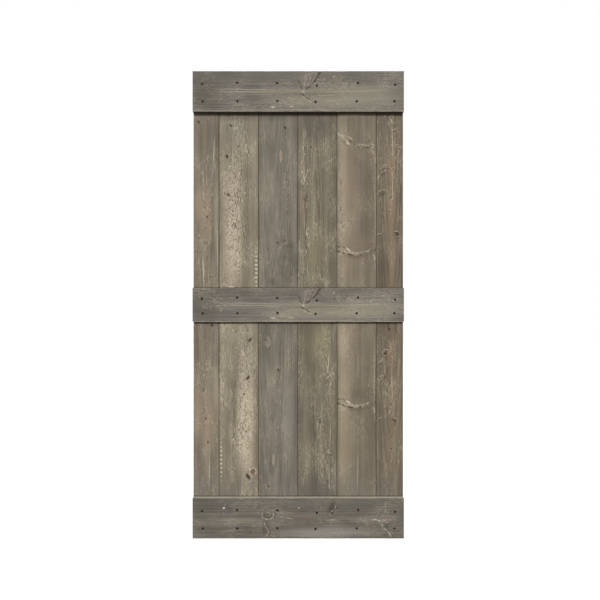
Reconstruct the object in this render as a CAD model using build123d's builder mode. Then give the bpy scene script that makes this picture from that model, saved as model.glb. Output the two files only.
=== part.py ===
from build123d import *
import os

# A plank barn door: tongue-and-groove planks stand side by side over the full height,
# and three rails lie across their front, each held to every plank by two countersunk screws.
# Sizes are in millimetres. X runs across the door, Y from the front to the back, and Z up.
# The origin is on the front face of the top rail, at its centre, where the hangers bolt on.

# The whole door
door_width = 965.2
door_height = 2133.6

# Planks
plank_thickness = 19.05
plank_pitch = 181.0  # from one joint to the next
plank_gap = 0.6  # left open between two planks' shoulders
left_plank_width = 118.0  # the left plank is ripped to this width, and the right one to what is left
narrowest_plank = 40.0  # the least that may be left for the right plank
front_bevel = 1.8  # the V that each joint shows at the front
back_bevel = 0.9

# Tongue and groove
tongue_thickness = 6.0
tongue_length = 6.0
tongue_nose = 1.0
groove_side_clearance = 0.25
groove_end_clearance = 1.0

# Rails
rail_thickness = 19.05
top_rail_height = 184.15
mid_rail_height = 155.0
bottom_rail_height = 184.15
mid_rail_rise = 0.0  # how far the middle rail's centre stands over the door's middle
rail_arris = 1.6  # rounding of the rails' front edges

# Countersunk holes in the rails for flat-head screws, which drive straight into the planks
hole_radius = 2.3
countersink_radius = 5.2
countersink_angle = 82.0

# Where the holes stand: shares of the rail's height and of the outer planks' width
upper_row_share = 0.313
lower_row_share = 0.747
outer_column_share = 0.37

# The holes are drilled by eye: how far each plank's two stand right of and below their marks
upper_strays_right = (0, -5, -3, -3, 4, 5)
upper_strays_down = (1, -4, -2, 9, -4, 5)
lower_strays_right = (3, -4, -2, -9, -2, 2)
lower_strays_down = (1, 0, -1, 3, 0, 0)

# What follows from these sizes
door_left = -door_width / 2
door_right = door_width / 2
door_top = top_rail_height / 2
door_bottom = door_top - door_height
door_middle = (door_top + door_bottom) / 2

plank_centre = rail_thickness + plank_thickness / 2
groove_width = tongue_thickness + 2 * groove_side_clearance
groove_depth = tongue_length - plank_gap + groove_end_clearance

full_plank_count = int((door_width - left_plank_width - narrowest_plank) // plank_pitch)
joints = [door_left + left_plank_width + n * plank_pitch for n in range(full_plank_count + 1)]
plank_edges = [door_left, *joints, door_right]
plank_count = len(plank_edges) - 1

rails = {  # name: (height of its top edge, its own height)
    "top_rail": (door_top, top_rail_height),
    "mid_rail": (door_middle + mid_rail_rise + mid_rail_height / 2, mid_rail_height),
    "bottom_rail": (door_bottom + bottom_rail_height, bottom_rail_height),
}


def hole_column(plank):
    """The marked line of a plank's holes: its middle, or nearer the door's edge on an outer plank."""
    left, right = plank_edges[plank], plank_edges[plank + 1]
    if plank == 0:
        return left + outer_column_share * (right - left)
    if plank == plank_count - 1:
        return right - outer_column_share * (right - left)
    return (left + right) / 2


def hole_places(top, height, plank):
    """The upper and the lower hole over one plank, as (x, z), in a rail with this top and height."""
    column = hole_column(plank)
    stray = plank % len(upper_strays_right)
    upper = (
        column + upper_strays_right[stray],
        top - upper_row_share * height - upper_strays_down[stray],
    )
    lower = (
        column + lower_strays_right[stray],
        top - lower_row_share * height - lower_strays_down[stray],
    )
    return [upper, lower]


def save(part, name):
    part.label = name
    export_step(part, f"parts/{name}.step")


def make_plank(plank):
    """One plank with a groove on its left and a tongue on its right, plain at the door's two edges."""
    grooved = plank > 0
    tongued = plank < plank_count - 1
    left = plank_edges[plank] + (plank_gap / 2 if grooved else 0)
    right = plank_edges[plank + 1] - (plank_gap / 2 if tongued else 0)

    with BuildPart() as body:
        with BuildSketch(Plane.XY.offset(door_bottom)) as section:
            with Locations(((left + right) / 2, plank_centre)):
                Rectangle(right - left, plank_thickness)
            chamfer(section.vertices().group_by(Axis.Y)[0], length=front_bevel)
            chamfer(section.vertices().group_by(Axis.Y)[-1], length=back_bevel)
            if grooved:
                with Locations((left, plank_centre)):
                    Rectangle(2 * groove_depth, groove_width, mode=Mode.SUBTRACT)
            if tongued:
                with Locations((right, plank_centre)):
                    Rectangle(2 * tongue_length, tongue_thickness)
                chamfer(section.vertices().group_by(Axis.X)[-1], length=tongue_nose)
        extrude(amount=door_height)
    save(body.part, f"plank_{plank + 1}")


def make_rail(name):
    """One rail with rounded front edges and two countersunk holes over every plank."""
    top, height = rails[name]
    holes = [place for plank in range(plank_count) for place in hole_places(top, height, plank)]

    with BuildPart(Plane.XZ) as body:
        with BuildSketch(Plane.XZ):
            with Locations((0, top - height / 2)):
                Rectangle(door_width, height)
        extrude(amount=-rail_thickness)
        fillet(body.faces().sort_by(Axis.Y)[0].edges(), radius=rail_arris)
        with Locations(*holes):
            CounterSinkHole(
                radius=hole_radius,
                counter_sink_radius=countersink_radius,
                depth=rail_thickness,
                counter_sink_angle=countersink_angle,
            )
    save(body.part, name)


os.makedirs("parts", exist_ok=True)
for plank in range(plank_count):
    make_plank(plank)
for name in rails:
    make_rail(name)
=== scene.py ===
import math
from functools import partial

import bmesh
import bpy
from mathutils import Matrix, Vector


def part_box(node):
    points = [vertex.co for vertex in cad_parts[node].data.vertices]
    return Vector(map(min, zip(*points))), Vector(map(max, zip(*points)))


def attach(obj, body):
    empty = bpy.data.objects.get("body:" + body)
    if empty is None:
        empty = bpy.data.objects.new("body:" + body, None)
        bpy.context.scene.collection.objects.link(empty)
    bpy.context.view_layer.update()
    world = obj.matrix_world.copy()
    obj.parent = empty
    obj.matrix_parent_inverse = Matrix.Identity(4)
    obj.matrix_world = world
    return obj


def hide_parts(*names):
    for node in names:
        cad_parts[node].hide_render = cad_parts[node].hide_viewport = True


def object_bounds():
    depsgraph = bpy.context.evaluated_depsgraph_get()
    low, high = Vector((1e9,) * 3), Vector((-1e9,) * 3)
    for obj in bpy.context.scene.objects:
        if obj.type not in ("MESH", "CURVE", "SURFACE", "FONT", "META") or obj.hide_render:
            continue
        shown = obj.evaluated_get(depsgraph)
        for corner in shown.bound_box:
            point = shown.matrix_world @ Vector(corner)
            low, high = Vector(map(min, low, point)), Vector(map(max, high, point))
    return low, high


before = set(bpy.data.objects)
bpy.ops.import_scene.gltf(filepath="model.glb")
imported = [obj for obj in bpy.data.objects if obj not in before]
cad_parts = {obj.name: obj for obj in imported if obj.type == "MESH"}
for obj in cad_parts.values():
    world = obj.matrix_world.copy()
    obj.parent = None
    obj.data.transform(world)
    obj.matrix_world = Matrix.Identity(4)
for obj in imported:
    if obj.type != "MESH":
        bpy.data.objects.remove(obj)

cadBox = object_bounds()

# A plank barn door in grey-stained knotty pine, hung with its top rail's front face at the origin.
# Patterns are placed in millimetres on the face: x from the door's middle to the right, and down from
# its top edge.

mm = 0.001
through = 1e5  # in mm: marks and knots go right through a board
doorTop = cadBox[1].z / mm
doorBottom = cadBox[0].z / mm
railNames = sorted(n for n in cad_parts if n.endswith("_rail"))
plankNames = sorted(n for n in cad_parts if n.startswith("plank_"))


def linear(hexColour):  # an sRGB hex colour as the linear one that sockets take
    value = int(hexColour.lstrip("#"), 16)
    channels = [(value >> shift & 255) / 255 for shift in (16, 8, 0)]
    return [c / 12.92 if c <= 0.04045 else ((c + 0.055) / 1.055) ** 2.4 for c in channels] + [1.0]


def addNode(tree, kind, inputs=None, **settings):  # a node with its settings, values and links
    node = tree.nodes.new(kind)
    for key, value in settings.items():
        setattr(node, key, value)
    for key, value in (inputs or {}).items():
        if isinstance(value, bpy.types.Node):
            value = next(s for s in value.outputs if s.enabled)
        if isinstance(value, bpy.types.NodeSocket):
            tree.links.new(value, node.inputs[key])
        else:
            node.inputs[key].default_value = value
    return node


def newGroup(name, kind, inputs, outputs):  # an empty node group with named sockets
    tree = bpy.data.node_groups.new(name, kind)
    for socketName, socketKind, value in inputs:
        socket = tree.interface.new_socket(socketName, in_out="INPUT", socket_type=socketKind)
        if value is not None:
            socket.default_value = value
    for socketName, socketKind in outputs:
        tree.interface.new_socket(socketName, in_out="OUTPUT", socket_type=socketKind)
    return tree, tree.nodes.new("NodeGroupInput"), tree.nodes.new("NodeGroupOutput")


# The grain parts round a knot as water does round a post: each knot pushes the lines aside, and the
# nearest knot's distance, in its own radii, is kept for colouring it.
def makeKnotGroup():
    tree, given, result = newGroup(
        "grain round a knot", "ShaderNodeTree",
        [("Grain", "NodeSocketVector", None), ("Shift", "NodeSocketFloat", 0.0),
         ("Near", "NodeSocketFloat", 99.0), ("Place", "NodeSocketVector", None),
         ("Turn", "NodeSocketVector", None), ("Size", "NodeSocketVector", None),
         ("Push", "NodeSocketFloat", 1.0)],
        [("Shift", "NodeSocketFloat"), ("Near", "NodeSocketFloat")])
    add = partial(addNode, tree)
    away = add("ShaderNodeMapping", {"Vector": given.outputs["Grain"], "Location": given.outputs["Place"],
                                     "Rotation": given.outputs["Turn"], "Scale": given.outputs["Size"]},
               vector_type="TEXTURE")
    square = add("ShaderNodeVectorMath", {0: away, 1: away}, operation="DOT_PRODUCT").outputs["Value"]
    eased = add("ShaderNodeMath", {0: square, 1: 0.4}, operation="ADD")
    side = add("ShaderNodeVectorMath", {0: away, 1: (1, 0, 0)}, operation="DOT_PRODUCT").outputs["Value"]
    pushed = add("ShaderNodeMath", {0: side, 1: given.outputs["Push"]}, operation="MULTIPLY")
    share = add("ShaderNodeMath", {0: pushed, 1: eased}, operation="DIVIDE")
    total = add("ShaderNodeMath", {0: share, 1: given.outputs["Shift"]}, operation="ADD")
    distance = add("ShaderNodeMath", {0: square}, operation="SQRT")
    nearest = add("ShaderNodeMath", {0: distance, 1: given.outputs["Near"]}, operation="MINIMUM")
    tree.links.new(total.outputs[0], result.inputs["Shift"])
    tree.links.new(nearest.outputs[0], result.inputs["Near"])
    return tree


# A mark is a soft-edged oval on the face, turned and bent. One group lays its tone over a colour, and
# the other lifts or sinks the wood by it, so that both keep to the same outline.
markSockets = [
    ("Face", "NodeSocketVector", None), ("Place", "NodeSocketVector", None), ("Turn", "NodeSocketFloat", 0.0),
    ("Size", "NodeSocketVector", None), ("Bend", "NodeSocketFloat", 0.0), ("Soft", "NodeSocketFloat", 0.6),
]


def softOval(add, given):
    away = add("ShaderNodeVectorMath", {0: given.outputs["Face"], 1: given.outputs["Place"]},
               operation="SUBTRACT")
    turned = add("ShaderNodeVectorRotate", {"Vector": away, "Angle": given.outputs["Turn"]},
                 rotation_type="Y_AXIS", invert=True)
    scaled = add("ShaderNodeVectorMath", {0: turned, 1: given.outputs["Size"]}, operation="DIVIDE")
    along = add("ShaderNodeVectorMath", {0: scaled, 1: (1, 0, 0)}, operation="DOT_PRODUCT").outputs["Value"]
    aside = add("ShaderNodeVectorMath", {0: scaled, 1: (0, 0, 1)}, operation="DOT_PRODUCT").outputs["Value"]
    square = add("ShaderNodeMath", {0: along, 1: along}, operation="MULTIPLY")
    bent = add("ShaderNodeMath", {0: square, 1: given.outputs["Bend"], 2: aside}, operation="MULTIPLY_ADD")
    total = add("ShaderNodeMath", {0: bent, 1: bent, 2: square}, operation="MULTIPLY_ADD")
    distance = add("ShaderNodeMath", {0: total}, operation="SQRT")
    inner = add("ShaderNodeMath", {0: 1.0, 1: given.outputs["Soft"]}, operation="SUBTRACT")
    return add("ShaderNodeMapRange", {"Value": distance, "From Min": 1.0, "From Max": inner},
               interpolation_type="SMOOTHSTEP")


def makePatchGroup():
    tree, given, result = newGroup(
        "patch of tone", "ShaderNodeTree",
        markSockets + [("Colour", "NodeSocketColor", None), ("Tint", "NodeSocketColor", None),
                       ("Amount", "NodeSocketFloat", 0.5), ("Grit", "NodeSocketFloat", 1.0)],
        [("Colour", "NodeSocketColor")])
    add = partial(addNode, tree)
    strength = add("ShaderNodeMath", {0: softOval(add, given), 1: given.outputs["Amount"]},
                   operation="MULTIPLY")
    broken = add("ShaderNodeMath", {0: strength, 1: given.outputs["Grit"]}, operation="MULTIPLY")
    mixed = add("ShaderNodeMix", {0: broken, 6: given.outputs["Colour"], 7: given.outputs["Tint"]},
                data_type="RGBA")
    tree.links.new(mixed.outputs[2], result.inputs["Colour"])
    return tree


def makeRiseGroup():
    tree, given, result = newGroup(
        "rise of a mark", "GeometryNodeTree",
        markSockets + [("Rise", "NodeSocketFloat", 0.0), ("Height", "NodeSocketFloat", 0.0)],
        [("Rise", "NodeSocketFloat")])
    add = partial(addNode, tree)
    rise = add("ShaderNodeMath", {0: softOval(add, given), 1: given.outputs["Height"],
                                  2: given.outputs["Rise"]}, operation="MULTIPLY_ADD")
    tree.links.new(rise.outputs[0], result.inputs["Rise"])
    return tree


def placeMark(node, mark, face):  # sets a mark's outline on a node of either group
    halfWidth, halfHeight = mark["size"]
    node.id_data.links.new(face.outputs[0], node.inputs["Face"])
    node.inputs["Place"].default_value = (mark["at"][0], 0, mark["at"][1])
    node.inputs["Turn"].default_value = math.radians(mark.get("turn", 0))
    node.inputs["Size"].default_value = (halfWidth, through, halfHeight)
    node.inputs["Bend"].default_value = mark.get("bend", 0.0) / halfHeight
    node.inputs["Soft"].default_value = mark.get("soft", 0.8)


def shaken(add, grain, face):  # small shakes make every drawn outline a little uneven
    spot = add("ShaderNodeVectorMath", {0: grain, 1: [1 / stain["shakeLength"]] * 3}, operation="MULTIPLY")
    noise = add("ShaderNodeTexNoise", {"Vector": spot, "Scale": 1.0, "Detail": 2.0})
    shake = add("ShaderNodeVectorMath", {0: noise.outputs["Color"], 1: [stain["shake"]] * 3,
                                         2: [-0.5 * stain["shake"]] * 3}, operation="MULTIPLY_ADD")
    return add("ShaderNodeVectorMath", {0: face, 1: shake}, operation="ADD")


knotGroup = makeKnotGroup()
patchGroup = makePatchGroup()
riseGroup = makeRiseGroup()

stain = {
    "knotHeart": "#4c3d2f", "knotRim": "#2d241b", "knotHalo": "#6b5e4c",
    # the dark of the joints also serves as painted shade under and beside the rails, and the pale of the rubbed
    # arrises is wear with a painted highlight
    "dirtAndShade": "#2e2923", "endGrain": "#57503f", "wornAndHighlight": "#d8ceb9", "fleck": "#cfc3a9", "pore": "#4a4238",
    # how wide and how long each noise is drawn along the grain, in mm
    "sway": (70, 420), "ripple": (14, 90), "broad": (30, 900), "middle": (7, 260), "cloud": (80, 160),
    "fibre": (1.3, 60.0),  # coarser than pine's fibres, so that they show
    "pores": (0.9, 16.0), "flecks": (2.2, 17.0), "veins": (15.0, 70.0), "mottle": (5.0, 10.0),
    "wear": (3.0, 45.0), "beadGap": 19.5,
    # how much each counts in the tone, where a board doesn't say
    "shares": {"broad": 0.9, "middle": 0.55, "fibre": 0.5, "cloud": 0.5},
    "knotPush": 1.3,  # how far the grain parts round a knot, in its radii
    "frontDepth": (4, 8),  # in mm: what is drawn on the front is whole to the first and gone at the second
    "shake": 6.0, "shakeLength": 14.0,
    "seedStep": (317.0, 71.0, 911.0),  # how far apart in the noise two boards are cut
}


# Grey-stained knotty pine, planed and then brushed with a water stain: matt, its rings and fibres
# showing through the pigment, which lies thin on the hard knots' halo and the arrises and thick in
# joints, pores and end grain. The rails' pale arrises also carry a painted highlight, and their undersides
# painted shade. That gives the eye soft grey-brown streaks with pale flecks on them.
def stainedPine(name, board, low, high, front, alongX):
    material = bpy.data.materials.new(name)
    material.use_nodes = True
    tree = material.node_tree
    tree.nodes.clear()
    add = partial(addNode, tree)
    seed = board["seed"]

    spot = add("ShaderNodeTexCoord")
    face = add("ShaderNodeMapping", {"Vector": spot.outputs["Object"], "Scale": (1 / mm, 1 / mm, -1 / mm),
                                     "Location": (0, 0, doorTop)})
    if alongX:  # grain coordinates are across, depth and along
        grain = add("ShaderNodeMapping", {"Vector": spot.outputs["Object"], "Scale": [1 / mm] * 3,
                                          "Rotation": (0, -math.pi / 2, 0), "Location": (doorTop, 0, 0)})
    else:
        grain = face
    shifted = add("ShaderNodeVectorMath", {0: grain, 1: [seed * step for step in stain["seedStep"]]},
                  operation="ADD")

    def streaks(across, along, detail=2.0, rough=0.5):  # noise drawn out along the grain, sizes in mm
        drawn = add("ShaderNodeVectorMath", {0: shifted, 1: (1 / across, 1 / across, 1 / along)},
                    operation="MULTIPLY")
        return add("ShaderNodeTexNoise", {"Vector": drawn, "Scale": 1.0, "Detail": detail,
                                          "Roughness": rough}).outputs["Fac"]

    def centred(socket, size):  # noise about zero, this many mm high
        return add("ShaderNodeMath", {0: socket, 1: 2.0 * size, 2: -size}, operation="MULTIPLY_ADD")

    def awayFrom(socket, value):  # how far a number is from this value, either way
        gap = add("ShaderNodeMath", {0: socket, 1: value}, operation="SUBTRACT")
        return add("ShaderNodeMath", {0: gap}, operation="ABSOLUTE")

    shakenGrain = shaken(add, shifted, grain)
    shakenFace = shaken(add, shifted, face)

    # knots and the grain that parts round them
    shift = 0.0
    near = 99.0
    for knot in board["knots"]:
        x, down, radius, stretch, turn = (*knot, 0)[:5]
        place = (down, 0, x) if alongX else (x, 0, down)
        node = add("ShaderNodeGroup", node_tree=knotGroup)
        tree.links.new(shakenGrain.outputs[0], node.inputs["Grain"])
        if shift != 0.0:
            tree.links.new(shift, node.inputs["Shift"])
            tree.links.new(near, node.inputs["Near"])
        node.inputs["Place"].default_value = place
        node.inputs["Turn"].default_value = (0, math.radians(turn), 0)
        node.inputs["Size"].default_value = (radius, through, radius * stretch)
        node.inputs["Push"].default_value = radius * stain["knotPush"]
        shift = node.outputs["Shift"]
        near = node.outputs["Near"]

    # growth rings: distance from the tree's pith, which lies aslant behind or before the face
    sway = centred(streaks(*stain["sway"]), board["sway"])
    ripple = centred(streaks(*stain["ripple"]), board["ripple"])
    wobble = add("ShaderNodeMath", {0: sway, 1: ripple}, operation="ADD")
    if shift != 0.0:
        wobble = add("ShaderNodeMath", {0: wobble, 1: shift}, operation="SUBTRACT")
    parts = add("ShaderNodeSeparateXYZ", {0: grain})
    across = add("ShaderNodeMath", {0: parts.outputs["X"], 1: wobble}, operation="ADD")
    fromPith = add("ShaderNodeMath", {0: across, 1: board["pith"][0]}, operation="SUBTRACT")
    depth = add("ShaderNodeMath", {0: parts.outputs["Z"], 1: board["aslant"], 2: parts.outputs["Y"]},
                operation="MULTIPLY_ADD")
    behind = add("ShaderNodeMath", {0: depth, 1: board["pith"][1]}, operation="SUBTRACT")
    ringSpot = add("ShaderNodeCombineXYZ", {"X": fromPith, "Y": behind})
    radius = add("ShaderNodeVectorMath", {0: ringSpot}, operation="LENGTH").outputs["Value"]
    phase = add("ShaderNodeMath", {0: radius, 1: board["ringGap"]}, operation="DIVIDE")
    saw = add("ShaderNodeMath", {0: phase}, operation="FRACT")
    rise = add("ShaderNodeMapRange", {"Value": saw, "From Min": 0.15, "From Max": 0.85},
               interpolation_type="SMOOTHSTEP")
    fall = add("ShaderNodeMapRange", {"Value": saw, "From Min": 1.0, "From Max": 0.88},
               interpolation_type="SMOOTHSTEP")
    ring = add("ShaderNodeMath", {0: rise, 1: fall}, operation="MULTIPLY")  # 1 in the hard late wood

    # the stain's tone, from dark to light
    broad = streaks(*stain["broad"], 1.0)
    middle = streaks(*stain["middle"], 2.0)
    fibre = streaks(*stain["fibre"], 3.0, 0.6)
    cloud = streaks(*stain["cloud"], 2.0)
    weights = [board.get(part, share) for part, share in stain["shares"].items()]
    tone = 0.5
    for part, weight in zip((broad, middle, fibre, cloud), weights):
        tone = add("ShaderNodeMath", {0: part, 1: weight, 2: tone}, operation="MULTIPLY_ADD")
    tone = add("ShaderNodeMath", {0: tone, 1: 0.5 * sum(weights)}, operation="SUBTRACT")
    tone = add("ShaderNodeMath", {0: ring, 1: -board["ring"], 2: tone}, operation="MULTIPLY_ADD")
    ramp = add("ShaderNodeValToRGB", {"Fac": tone})
    ramp.color_ramp.elements[0].position = 0.05
    ramp.color_ramp.elements[0].color = linear(board["tones"][0])
    ramp.color_ramp.elements[1].position = 0.95
    ramp.color_ramp.elements[1].color = linear(board["tones"][2])
    ramp.color_ramp.elements.new(0.45).color = linear(board["tones"][1])
    colour = ramp.outputs["Color"]

    # patterns that break the patches up
    fleck = streaks(*stain["flecks"], 2.0, 0.6)
    flecks = add("ShaderNodeMapRange", {"Value": fleck, "From Min": 0.53, "From Max": 0.64})
    beadTurn = 2 * math.pi / stain["beadGap"]
    drawnBeads = add("ShaderNodeMath", {0: parts.outputs["Z"], 1: beadTurn}, operation="MULTIPLY")
    beadWave = add("ShaderNodeMath", {0: drawnBeads}, operation="SINE")
    beads = add("ShaderNodeMapRange", {"Value": beadWave, "From Min": 0.0, "From Max": 0.8})
    wide, long = stain["mottle"]
    mottleSpot = add("ShaderNodeVectorMath", {0: shifted, 1: (1 / wide, 1 / wide, 1 / long)},
                     operation="MULTIPLY")
    mottleNoise = add("ShaderNodeTexNoise", {"Vector": mottleSpot, "Scale": 1.0, "Detail": 3.0,
                                             "Roughness": 0.65, "Distortion": 0.6}).outputs["Fac"]
    mottle = add("ShaderNodeMapRange", {"Value": mottleNoise, "From Min": 0.42, "From Max": 0.62})
    veinNoise = streaks(*stain["veins"], 2.0)
    veins = add("ShaderNodeMapRange", {"Value": awayFrom(veinNoise, 0.5), "From Min": 0.024,
                                       "From Max": 0.008})
    veinShades = add("ShaderNodeMapRange", {"Value": awayFrom(veinNoise, 0.46), "From Min": 0.026,
                                            "From Max": 0.01})
    pits = add("ShaderNodeMapRange", {"Value": mottleNoise, "From Min": 0.47, "From Max": 0.35,
                                      "To Max": 0.85})
    grits = {"flecks": flecks.outputs[0], "beads": beads.outputs[0], "mottle": mottle.outputs[0],
             "veins": veins.outputs[0]}
    shades = {"mottle": pits.outputs[0], "veins": veinShades.outputs[0]}  # the dark beside the pale

    if alongX:
        lean = add("ShaderNodeCombineXYZ", {"Z": wobble})
    else:
        lean = add("ShaderNodeCombineXYZ", {"X": wobble})
    wavyFace = add("ShaderNodeVectorMath", {0: face, 1: lean}, operation="ADD")

    def painted(patches, under, flow):  # lays patches over a colour, one after another
        for patch in patches:
            layers = [(grits.get(patch.get("grit")), patch["colour"])]
            if patch.get("grit") in shades:
                layers.append((shades[patch["grit"]], stain["pore"]))
            for grit, hexColour in layers:
                node = add("ShaderNodeGroup", node_tree=patchGroup)
                placeMark(node, patch, flow)
                tree.links.new(under, node.inputs["Colour"])
                if grit is not None:
                    tree.links.new(grit, node.inputs["Grit"])
                node.inputs["Tint"].default_value = linear(hexColour)
                node.inputs["Amount"].default_value = patch["amount"]
                under = node.outputs["Colour"]
        return under

    wholeTo, goneAt = stain["frontDepth"]
    atFront = add("ShaderNodeMapRange", {"Value": parts.outputs["Y"], "From Min": front + goneAt,
                                         "From Max": front + wholeTo})

    def onFront(bare, drawn):  # what is drawn on the front doesn't show at the back
        node = add("ShaderNodeMix", {0: atFront, 6: bare, 7: drawn}, data_type="RGBA")
        return node.outputs[2]

    colour = onFront(colour, painted(board["patches"], colour, wavyFace))

    def tinted(factor, hexColour):
        node = add("ShaderNodeMix", {0: factor, 6: colour, 7: linear(hexColour)}, data_type="RGBA")
        return node.outputs[2]

    # pale flecks where the stain missed, and dark pores
    where = add("ShaderNodeMapRange", {"Value": cloud, "From Min": 0.42, "From Max": 0.7,
                                       "To Max": board["flecks"]})
    colour = tinted(add("ShaderNodeMath", {0: flecks, 1: where}, operation="MULTIPLY"), stain["fleck"])
    pore = add("ShaderNodeMapRange", {"Value": streaks(*stain["pores"], 1.0),
                                      "From Min": 0.66, "From Max": 0.72, "To Max": 0.5})
    colour = tinted(pore, stain["pore"])
    veined = add("ShaderNodeMapRange", {"Value": cloud, "From Min": 0.38, "From Max": 0.62,
                                        "To Max": 0.6 * board["veins"]})
    colour = tinted(add("ShaderNodeMath", {0: veins, 1: veined}, operation="MULTIPLY"), stain["fleck"])
    colour = tinted(add("ShaderNodeMath", {0: veinShades, 1: veined}, operation="MULTIPLY"), stain["pore"])

    # knots: a darker heart with rings of its own, a black rim and a brownish halo
    if board["knots"]:
        halo = add("ShaderNodeMapRange", {"Value": near, "From Min": 2.3, "From Max": 1.0, "To Max": 0.5},
                   interpolation_type="SMOOTHSTEP")
        colour = tinted(halo, stain["knotHalo"])
        heart = add("ShaderNodeMapRange", {"Value": near, "From Min": 1.1, "From Max": 0.85},
                    interpolation_type="SMOOTHSTEP")
        colour = tinted(add("ShaderNodeMath", {0: heart, 1: 0.85}, operation="MULTIPLY"), stain["knotHeart"])
        turns = add("ShaderNodeMath", {0: near, 1: 17.0}, operation="MULTIPLY")
        knotRing = add("ShaderNodeMath", {0: turns}, operation="SINE")
        knotLine = add("ShaderNodeMapRange", {"Value": knotRing, "From Min": 0.2, "From Max": 1.0,
                                              "To Max": 0.5})
        inHeart = add("ShaderNodeMath", {0: knotLine, 1: heart}, operation="MULTIPLY")
        colour = tinted(inHeart, stain["knotRim"])
        rim = add("ShaderNodeMapRange", {"Value": awayFrom(near, 1.0), "From Min": 0.22, "From Max": 0.02,
                                         "To Max": 0.8}, interpolation_type="SMOOTHSTEP")
        colour = tinted(rim, stain["knotRim"])

    colour = onFront(colour, painted(board["marks"], colour, shakenFace))

    # distance from the board's long edges: dirt in the joints, and the rails' pale arrises, rubbed and with a painted
    # highlight
    middleLine = 0.5 * (low + high)
    fromMiddle = add("ShaderNodeMath", {0: parts.outputs["X"], 1: middleLine}, operation="SUBTRACT")
    if alongX:  # one edge of a rail is drawn pale, rubbed and with a painted highlight: the lower one, or the upper one of the bottom rail
        side, reach, full, wearAndHighlight = board["rubbed"]
        offSide = add("ShaderNodeMath", {0: fromMiddle, 1: side}, operation="MULTIPLY")
    else:
        offSide = add("ShaderNodeMath", {0: fromMiddle}, operation="ABSOLUTE")
    toEdge = add("ShaderNodeMath", {0: 0.5 * (high - low), 1: offSide}, operation="SUBTRACT")
    wear = streaks(*stain["wear"], 2.0)
    if alongX:
        band = add("ShaderNodeMapRange", {"Value": toEdge, "From Min": reach, "From Max": full},
                   interpolation_type="SMOOTHSTEP")
        rubbed = add("ShaderNodeMapRange", {"Value": wear, "From Min": 0.3, "From Max": 0.55,
                                            "To Min": 0.55 * wearAndHighlight, "To Max": wearAndHighlight})
        colour = tinted(add("ShaderNodeMath", {0: band, 1: rubbed}, operation="MULTIPLY"), stain["wornAndHighlight"])
    else:
        band = add("ShaderNodeMapRange", {"Value": toEdge, "From Min": 2.6, "From Max": 0.4, "To Max": 0.5},
                   interpolation_type="SMOOTHSTEP")
        colour = tinted(band, stain["dirtAndShade"])

    # the stain soaks into end grain
    axis = (1, 0, 0) if alongX else (0, 0, 1)
    endOn = add("ShaderNodeVectorMath", {0: spot.outputs["Normal"], 1: axis}, operation="DOT_PRODUCT")
    endFace = add("ShaderNodeMath", {0: endOn.outputs["Value"]}, operation="ABSOLUTE")
    endMask = add("ShaderNodeMapRange", {"Value": endFace, "From Min": 0.7, "From Max": 0.95, "To Max": 0.6})
    colour = tinted(endMask, stain["endGrain"])
    if alongX:  # a rail's underside is drawn dark: painted shade
        faceDown = add("ShaderNodeVectorMath", {0: spot.outputs["Normal"], 1: (0, 0, -1)},
                       operation="DOT_PRODUCT").outputs["Value"]
        colour = tinted(add("ShaderNodeMapRange", {"Value": faceDown, "From Min": 0.9, "From Max": 0.99,
                                                   "To Max": 0.9}), stain["dirtAndShade"])

    # relief too fine for the mesh: fibres stand proud by a tenth of a millimetre, late wood by a little more
    grainHeight = add("ShaderNodeMath", {0: fibre, 1: 0.55}, operation="MULTIPLY")
    height = add("ShaderNodeMath", {0: ring, 1: 0.45, 2: grainHeight}, operation="MULTIPLY_ADD")
    bump = add("ShaderNodeBump", {"Height": height, "Strength": 0.5, "Distance": 0.35 * mm})
    roughness = add("ShaderNodeMapRange", {"Value": tone, "From Min": 0.0, "From Max": 1.0,
                                           "To Min": 0.9, "To Max": 0.72})
    shader = add("ShaderNodeBsdfPrincipled", {"Base Color": colour, "Roughness": roughness, "Normal": bump,
                                              "Specular IOR Level": 0.25, "IOR": 1.5})
    add("ShaderNodeOutputMaterial", {"Surface": shader})
    return material


# Colours of single marks
tints = {
    "pale": "#cabea5", "cream": "#ddd3bd", "dark": "#453b2f", "shade": "#5c5244", "rust": "#8f6a52",
    "tan": "#a8977b",
}


def oval(at, size, colour, amount, **more):  # a soft-edged mark or patch: its middle and its half sizes
    return dict(at=at, size=size, colour=colour, amount=amount, **more)


def strand(start, end, thick, tint, amount=0.8, bow=0.0, soft=0.8, grit=None, rise=0.0):
    # a thin mark from one place to another, its two ends lifted by bow, standing proud by rise
    (x0, down0), (x1, down1) = start, end
    half = 0.5 * math.hypot(x1 - x0, down1 - down0)
    turn = math.degrees(math.atan2(down0 - down1, x1 - x0))
    return oval((0.5 * (x0 + x1), 0.5 * (down0 + down1)), (half, 0.5 * thick), tints[tint], amount,
                turn=turn, bend=bow, soft=soft, grit=grit, rise=rise)


def crooked(places, thick, tint, amount=0.8, rise=0.0, soft=0.7):
    # a crooked thin mark through several places, its stretches overlapping at the bends
    strands = []
    for (x0, down0), (x1, down1) in zip(places, places[1:]):
        overX, overDown = 0.12 * (x1 - x0), 0.12 * (down1 - down0)
        strands.append(strand((x0 - overX, down0 - overDown), (x1 + overX, down1 + overDown), thick, tint,
                              amount, soft=soft, rise=rise))
    return strands


def lip(x, down, width, turn=0.0, bow=0.0, thick=5.0, amount=0.8):
    # the raised lip of grain beside a branch: a painted highlight along its top and painted shade beneath
    lift = math.radians(turn)
    under = (x + thick * math.sin(lift), down + thick * math.cos(lift))
    return [
        oval(under, (0.5 * width, 0.75 * thick), tints["dark"], amount,
             turn=turn, bend=bow, soft=0.9, rise=-0.4),
        oval((x, down), (0.46 * width, 0.45 * thick), tints["pale"], amount,
             turn=turn, bend=0.85 * bow, soft=0.9, rise=0.9),
    ]


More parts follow.
